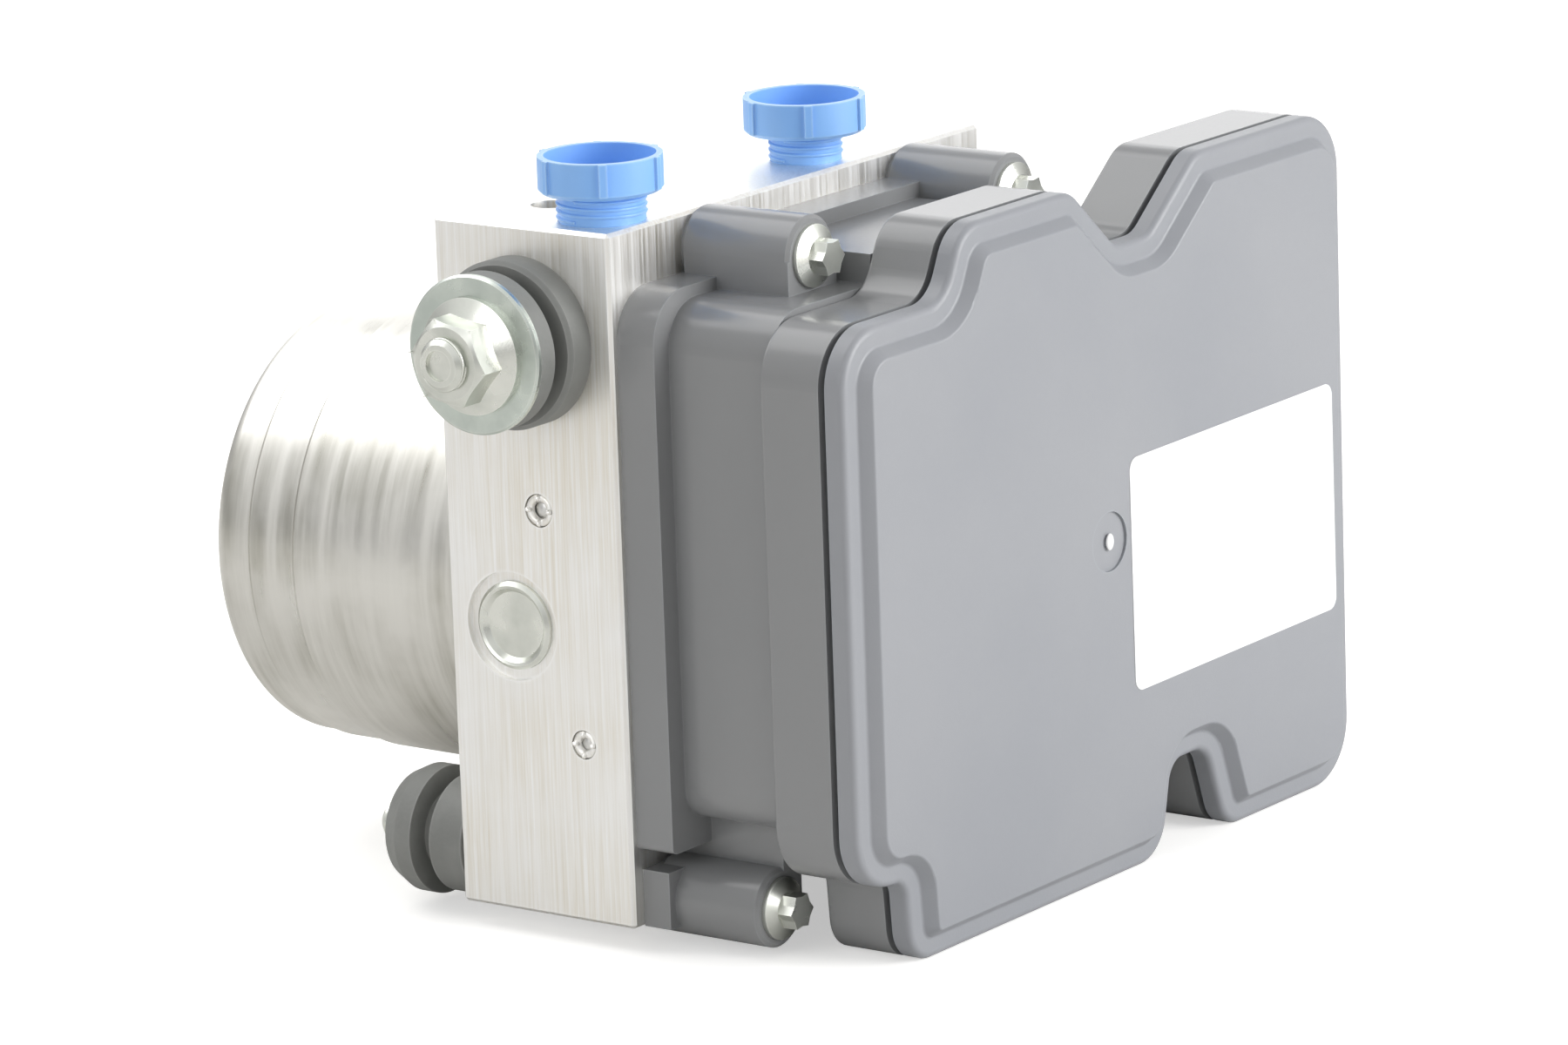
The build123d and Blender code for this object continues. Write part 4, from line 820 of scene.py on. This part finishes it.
necks = []
for node, radius in (("port_plug_inlet", inlet_radius), ("port_plug_wheel", wheel_radius)):
    low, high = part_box(node)
    centre = (low + high) / 2
    necks.append(neck_thread(radius, (0, 0, 1), Vector((centre.x, centre.y, block_high.z))))
for y, z in side_ports_mm:
    foot = Vector((block_high.x, block_low.y + y * MM, block_low.z + z * MM))
    necks.append(neck_thread(wheel_radius, (1, 0, 0), foot))
plug_threads = joined_piece("plug_threads", necks)
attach(plug_threads, "unit")
print("plug threads:", len(plug_threads.data.polygons), "faces")

# %% Thread on the side mount's stud
stud_low, stud_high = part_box("side_stud")
stud_middle = (stud_low + stud_high) / 2
nut_outer_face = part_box("side_nut")[0].x
stud_pitch = 0.6 * MM
stud_ridge = 0.2 * MM
stud_radius = (stud_high.z - stud_low.z) / 2
stud_turns = 1.4
stud_mesh = mesh_from_tree(
    thread, Radius=stud_radius, Pitch=stud_pitch, Turns=stud_turns, Ridge=stud_ridge,
    Finish=zinc_finish,
)
stud_foot = Vector((nut_outer_face, stud_middle.y, stud_middle.z))
stud_mesh.transform(looking_along((-1, 0, 0), stud_foot))
stud_thread = joined_piece("stud_thread", [stud_mesh])
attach(stud_thread, "unit")
print("stud thread:", len(stud_thread.data.polygons), "faces")

# %% [markdown]
# ## Thread tips of the lower pins
# Each lower mount is a rubber bush on a pin, and the pin ends in a short screw tip that shows
# past the rubber. The thread tree gives both tips their turns.

# %% Threads on the lower pins
tip_length = 5.2 * MM
tip_pitch = 0.8 * MM
tip_turns = 4.0
tip_ridge = 0.2 * MM
tip_start = 0.4 * MM
pin_radius = 3.0 * MM
tips = []
for node in ("lower_pin_left", "lower_pin_right"):
    pin_low, pin_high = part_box(node)
    foot_y = pin_high.y - tip_length + tip_start
    mesh = mesh_from_tree(
        thread, Radius=pin_radius, Pitch=tip_pitch, Turns=tip_turns, Ridge=tip_ridge,
        Finish=zinc_finish,
    )
    pin_middle = (pin_low + pin_high) / 2
    mesh.transform(looking_along((0, 1, 0), Vector((pin_middle.x, foot_y, pin_middle.z))))
    tips.append(mesh)
pin_threads = joined_piece("pin_threads", tips)
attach(pin_threads, "unit")
print("pin threads:", len(pin_threads.data.polygons), "faces")

# %% [markdown]
# ## Pump and accumulator springs
# A pump spring sits between the closing plug and its piston, and an accumulator spring between
# the cap and its piston. Modelled rigid, a spring would be run through when its piston moves.
# Each is a spiral again, with the wire as its ridge. The construction's own springs stay for the
# physics and are hidden.

# %% Pump and accumulator springs
pump_wire = 0.9 * MM
pump_coil_radius = 2.4 * MM
pump_coil_turns = 4.0
store_wire = 1.3 * MM
store_coil_radius = 6.0 * MM
store_coil_turns = 3.0


def moving_spring(node, towards_piston, radius, wire, turns):
    low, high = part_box(node)
    axis = Vector(towards_piston)
    centre = (low + high) / 2
    length = abs((high - low).dot(axis))
    height = length - wire
    mesh = mesh_from_tree(
        thread, Radius=radius, Pitch=height / turns, Turns=turns, Ridge=wire / 2,
        Finish=steel_finish,
    )
    mesh.transform(looking_along(axis, centre - axis * height / 2))
    spring = joined_piece(node.replace("spring", "coil"), [mesh])
    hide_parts(node)
    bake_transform(spring)
    print(spring.name, "is", round(length / MM, 1), "mm long at rest")


for side, inwards in (("left", (1, 0, 0)), ("right", (-1, 0, 0))):
    moving_spring(
        f"pump_spring_{side}", inwards,
        pump_coil_radius, pump_wire, pump_coil_turns,
    )
    moving_spring(
        f"accumulator_spring_{side}", (0, 0, 1),
        store_coil_radius, store_wire, store_coil_turns,
    )

# %% [markdown]
# ## Staked sealing balls
# Two drillings in the left face are closed by steel balls. After a ball is pressed in, a punch
# with four prongs strikes the aluminium round it and pushes it over the ball. That leaves a
# collar of displaced metal with a small smooth lump at each prong. The collar is the thread tree
# again, with one turn and no pitch. A second tree sets the lumps in a ring, so one number changes
# all of them.


# %% A Geometry Nodes tree for staking marks
lump_segments = 12
lump_rings = 8


def staking_tree():
    tree, given = new_shape_tree("staking marks", [
        ("Ring Radius", "NodeSocketFloat", 2.3 * MM),
        ("Count", "NodeSocketInt", 4),
        ("Lump Radius", "NodeSocketFloat", 0.55 * MM),
        ("Lump Scale", "NodeSocketVector", (1.0, 1.4, 0.8)),
    ])
    round_path = tree.nodes.new("GeometryNodeCurvePrimitiveCircle")
    lump = tree.nodes.new("GeometryNodeMeshUVSphere")
    lump.inputs["Segments"].default_value = lump_segments
    lump.inputs["Rings"].default_value = lump_rings
    points = tree.nodes.new("GeometryNodeCurveToPoints")
    placed = tree.nodes.new("GeometryNodeInstanceOnPoints")
    link = tree.links.new
    link(given.outputs["Ring Radius"], round_path.inputs["Radius"])
    link(given.outputs["Count"], points.inputs["Count"])
    link(given.outputs["Lump Radius"], lump.inputs["Radius"])
    link(round_path.outputs["Curve"], points.inputs["Curve"])
    link(points.outputs["Points"], placed.inputs["Points"])
    link(points.outputs["Rotation"], placed.inputs["Rotation"])
    link(lump.outputs["Mesh"], placed.inputs["Instance"])
    link(given.outputs["Lump Scale"], placed.inputs["Scale"])
    end_shape_tree(tree, given, placed.outputs["Instances"])
    return tree


staking = staking_tree()
print("tree:", staking.name)

# %% Stake the balls
balls_mm = ((13.5, 56.9, 2.3), (7.4, 25.0, 2.0))
collar_overlap = 0.1 * MM
collar_thickness = 0.65 * MM
collar_depth = 0.6 * MM
lump_depth = 0.3 * MM
stakes = []
for y, z, radius in balls_mm:
    face_point = Vector((block_low.x, block_low.y + y * MM, block_low.z + z * MM))
    ring = radius * MM - collar_thickness + collar_overlap
    collar = mesh_from_tree(
        thread, Radius=ring, Pitch=0.0, Turns=1.0, Ridge=collar_thickness, Finish=block_finish
    )
    lumps = mesh_from_tree(staking, Ring_Radius=ring, Finish=block_finish)
    for mesh, depth in ((collar, collar_depth), (lumps, lump_depth)):
        mesh.transform(looking_along((-1, 0, 0), face_point + Vector((depth, 0, 0))))
        stakes.append(mesh)
staking_marks = joined_piece("staking_marks", stakes)
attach(staking_marks, "unit")
print("staking marks:", len(staking_marks.data.polygons), "faces")

# %% [markdown]
# ## Gate mark
# The cover was filled through one gate near its middle. The gate is broken off in a shallow dish,
# and the break leaves a small nub. Its near-white colour is a painted highlight for the glint in
# the dish. It is one lump of the staking tree, flattened and set in the middle of the dish.


# %% The nub in the gate dish
def highlight_white_plastic():
    material, tree, shader = new_finish("gate nub with painted highlight", roughness=0.25)
    rough = effect(tree, grain, Scale=5000.0)
    # near-white colour: a painted highlight for the glint in the gate dish
    colour = two_colours(tree, rough.outputs["Mask"], (0.80, 0.81, 0.83), (0.92, 0.92, 0.93))
    tree.links.new(colour, shader.inputs["Base Color"])
    return material


gate_from_left = 60.5 * MM
gate_height = 45.4 * MM
nub_radius = 1.0 * MM
nub_flattening = (0.9, 0.3, 1.2)
cover_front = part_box("ecu_cover")[0].y
gate_point = Vector((block_low.x + gate_from_left, cover_front, block_low.z + gate_height))
nub_mesh = mesh_from_tree(
    staking, Ring_Radius=0.0, Count=1, Lump_Radius=nub_radius, Lump_Scale=nub_flattening,
    Finish=highlight_white_plastic(),
)
nub_mesh.transform(Matrix.Translation(gate_point))
gate_nub = joined_piece("gate_nub", [nub_mesh])
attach(gate_nub, "unit")
print("gate nub in mm:", [round(v / MM, 2) for v in gate_nub.dimensions])
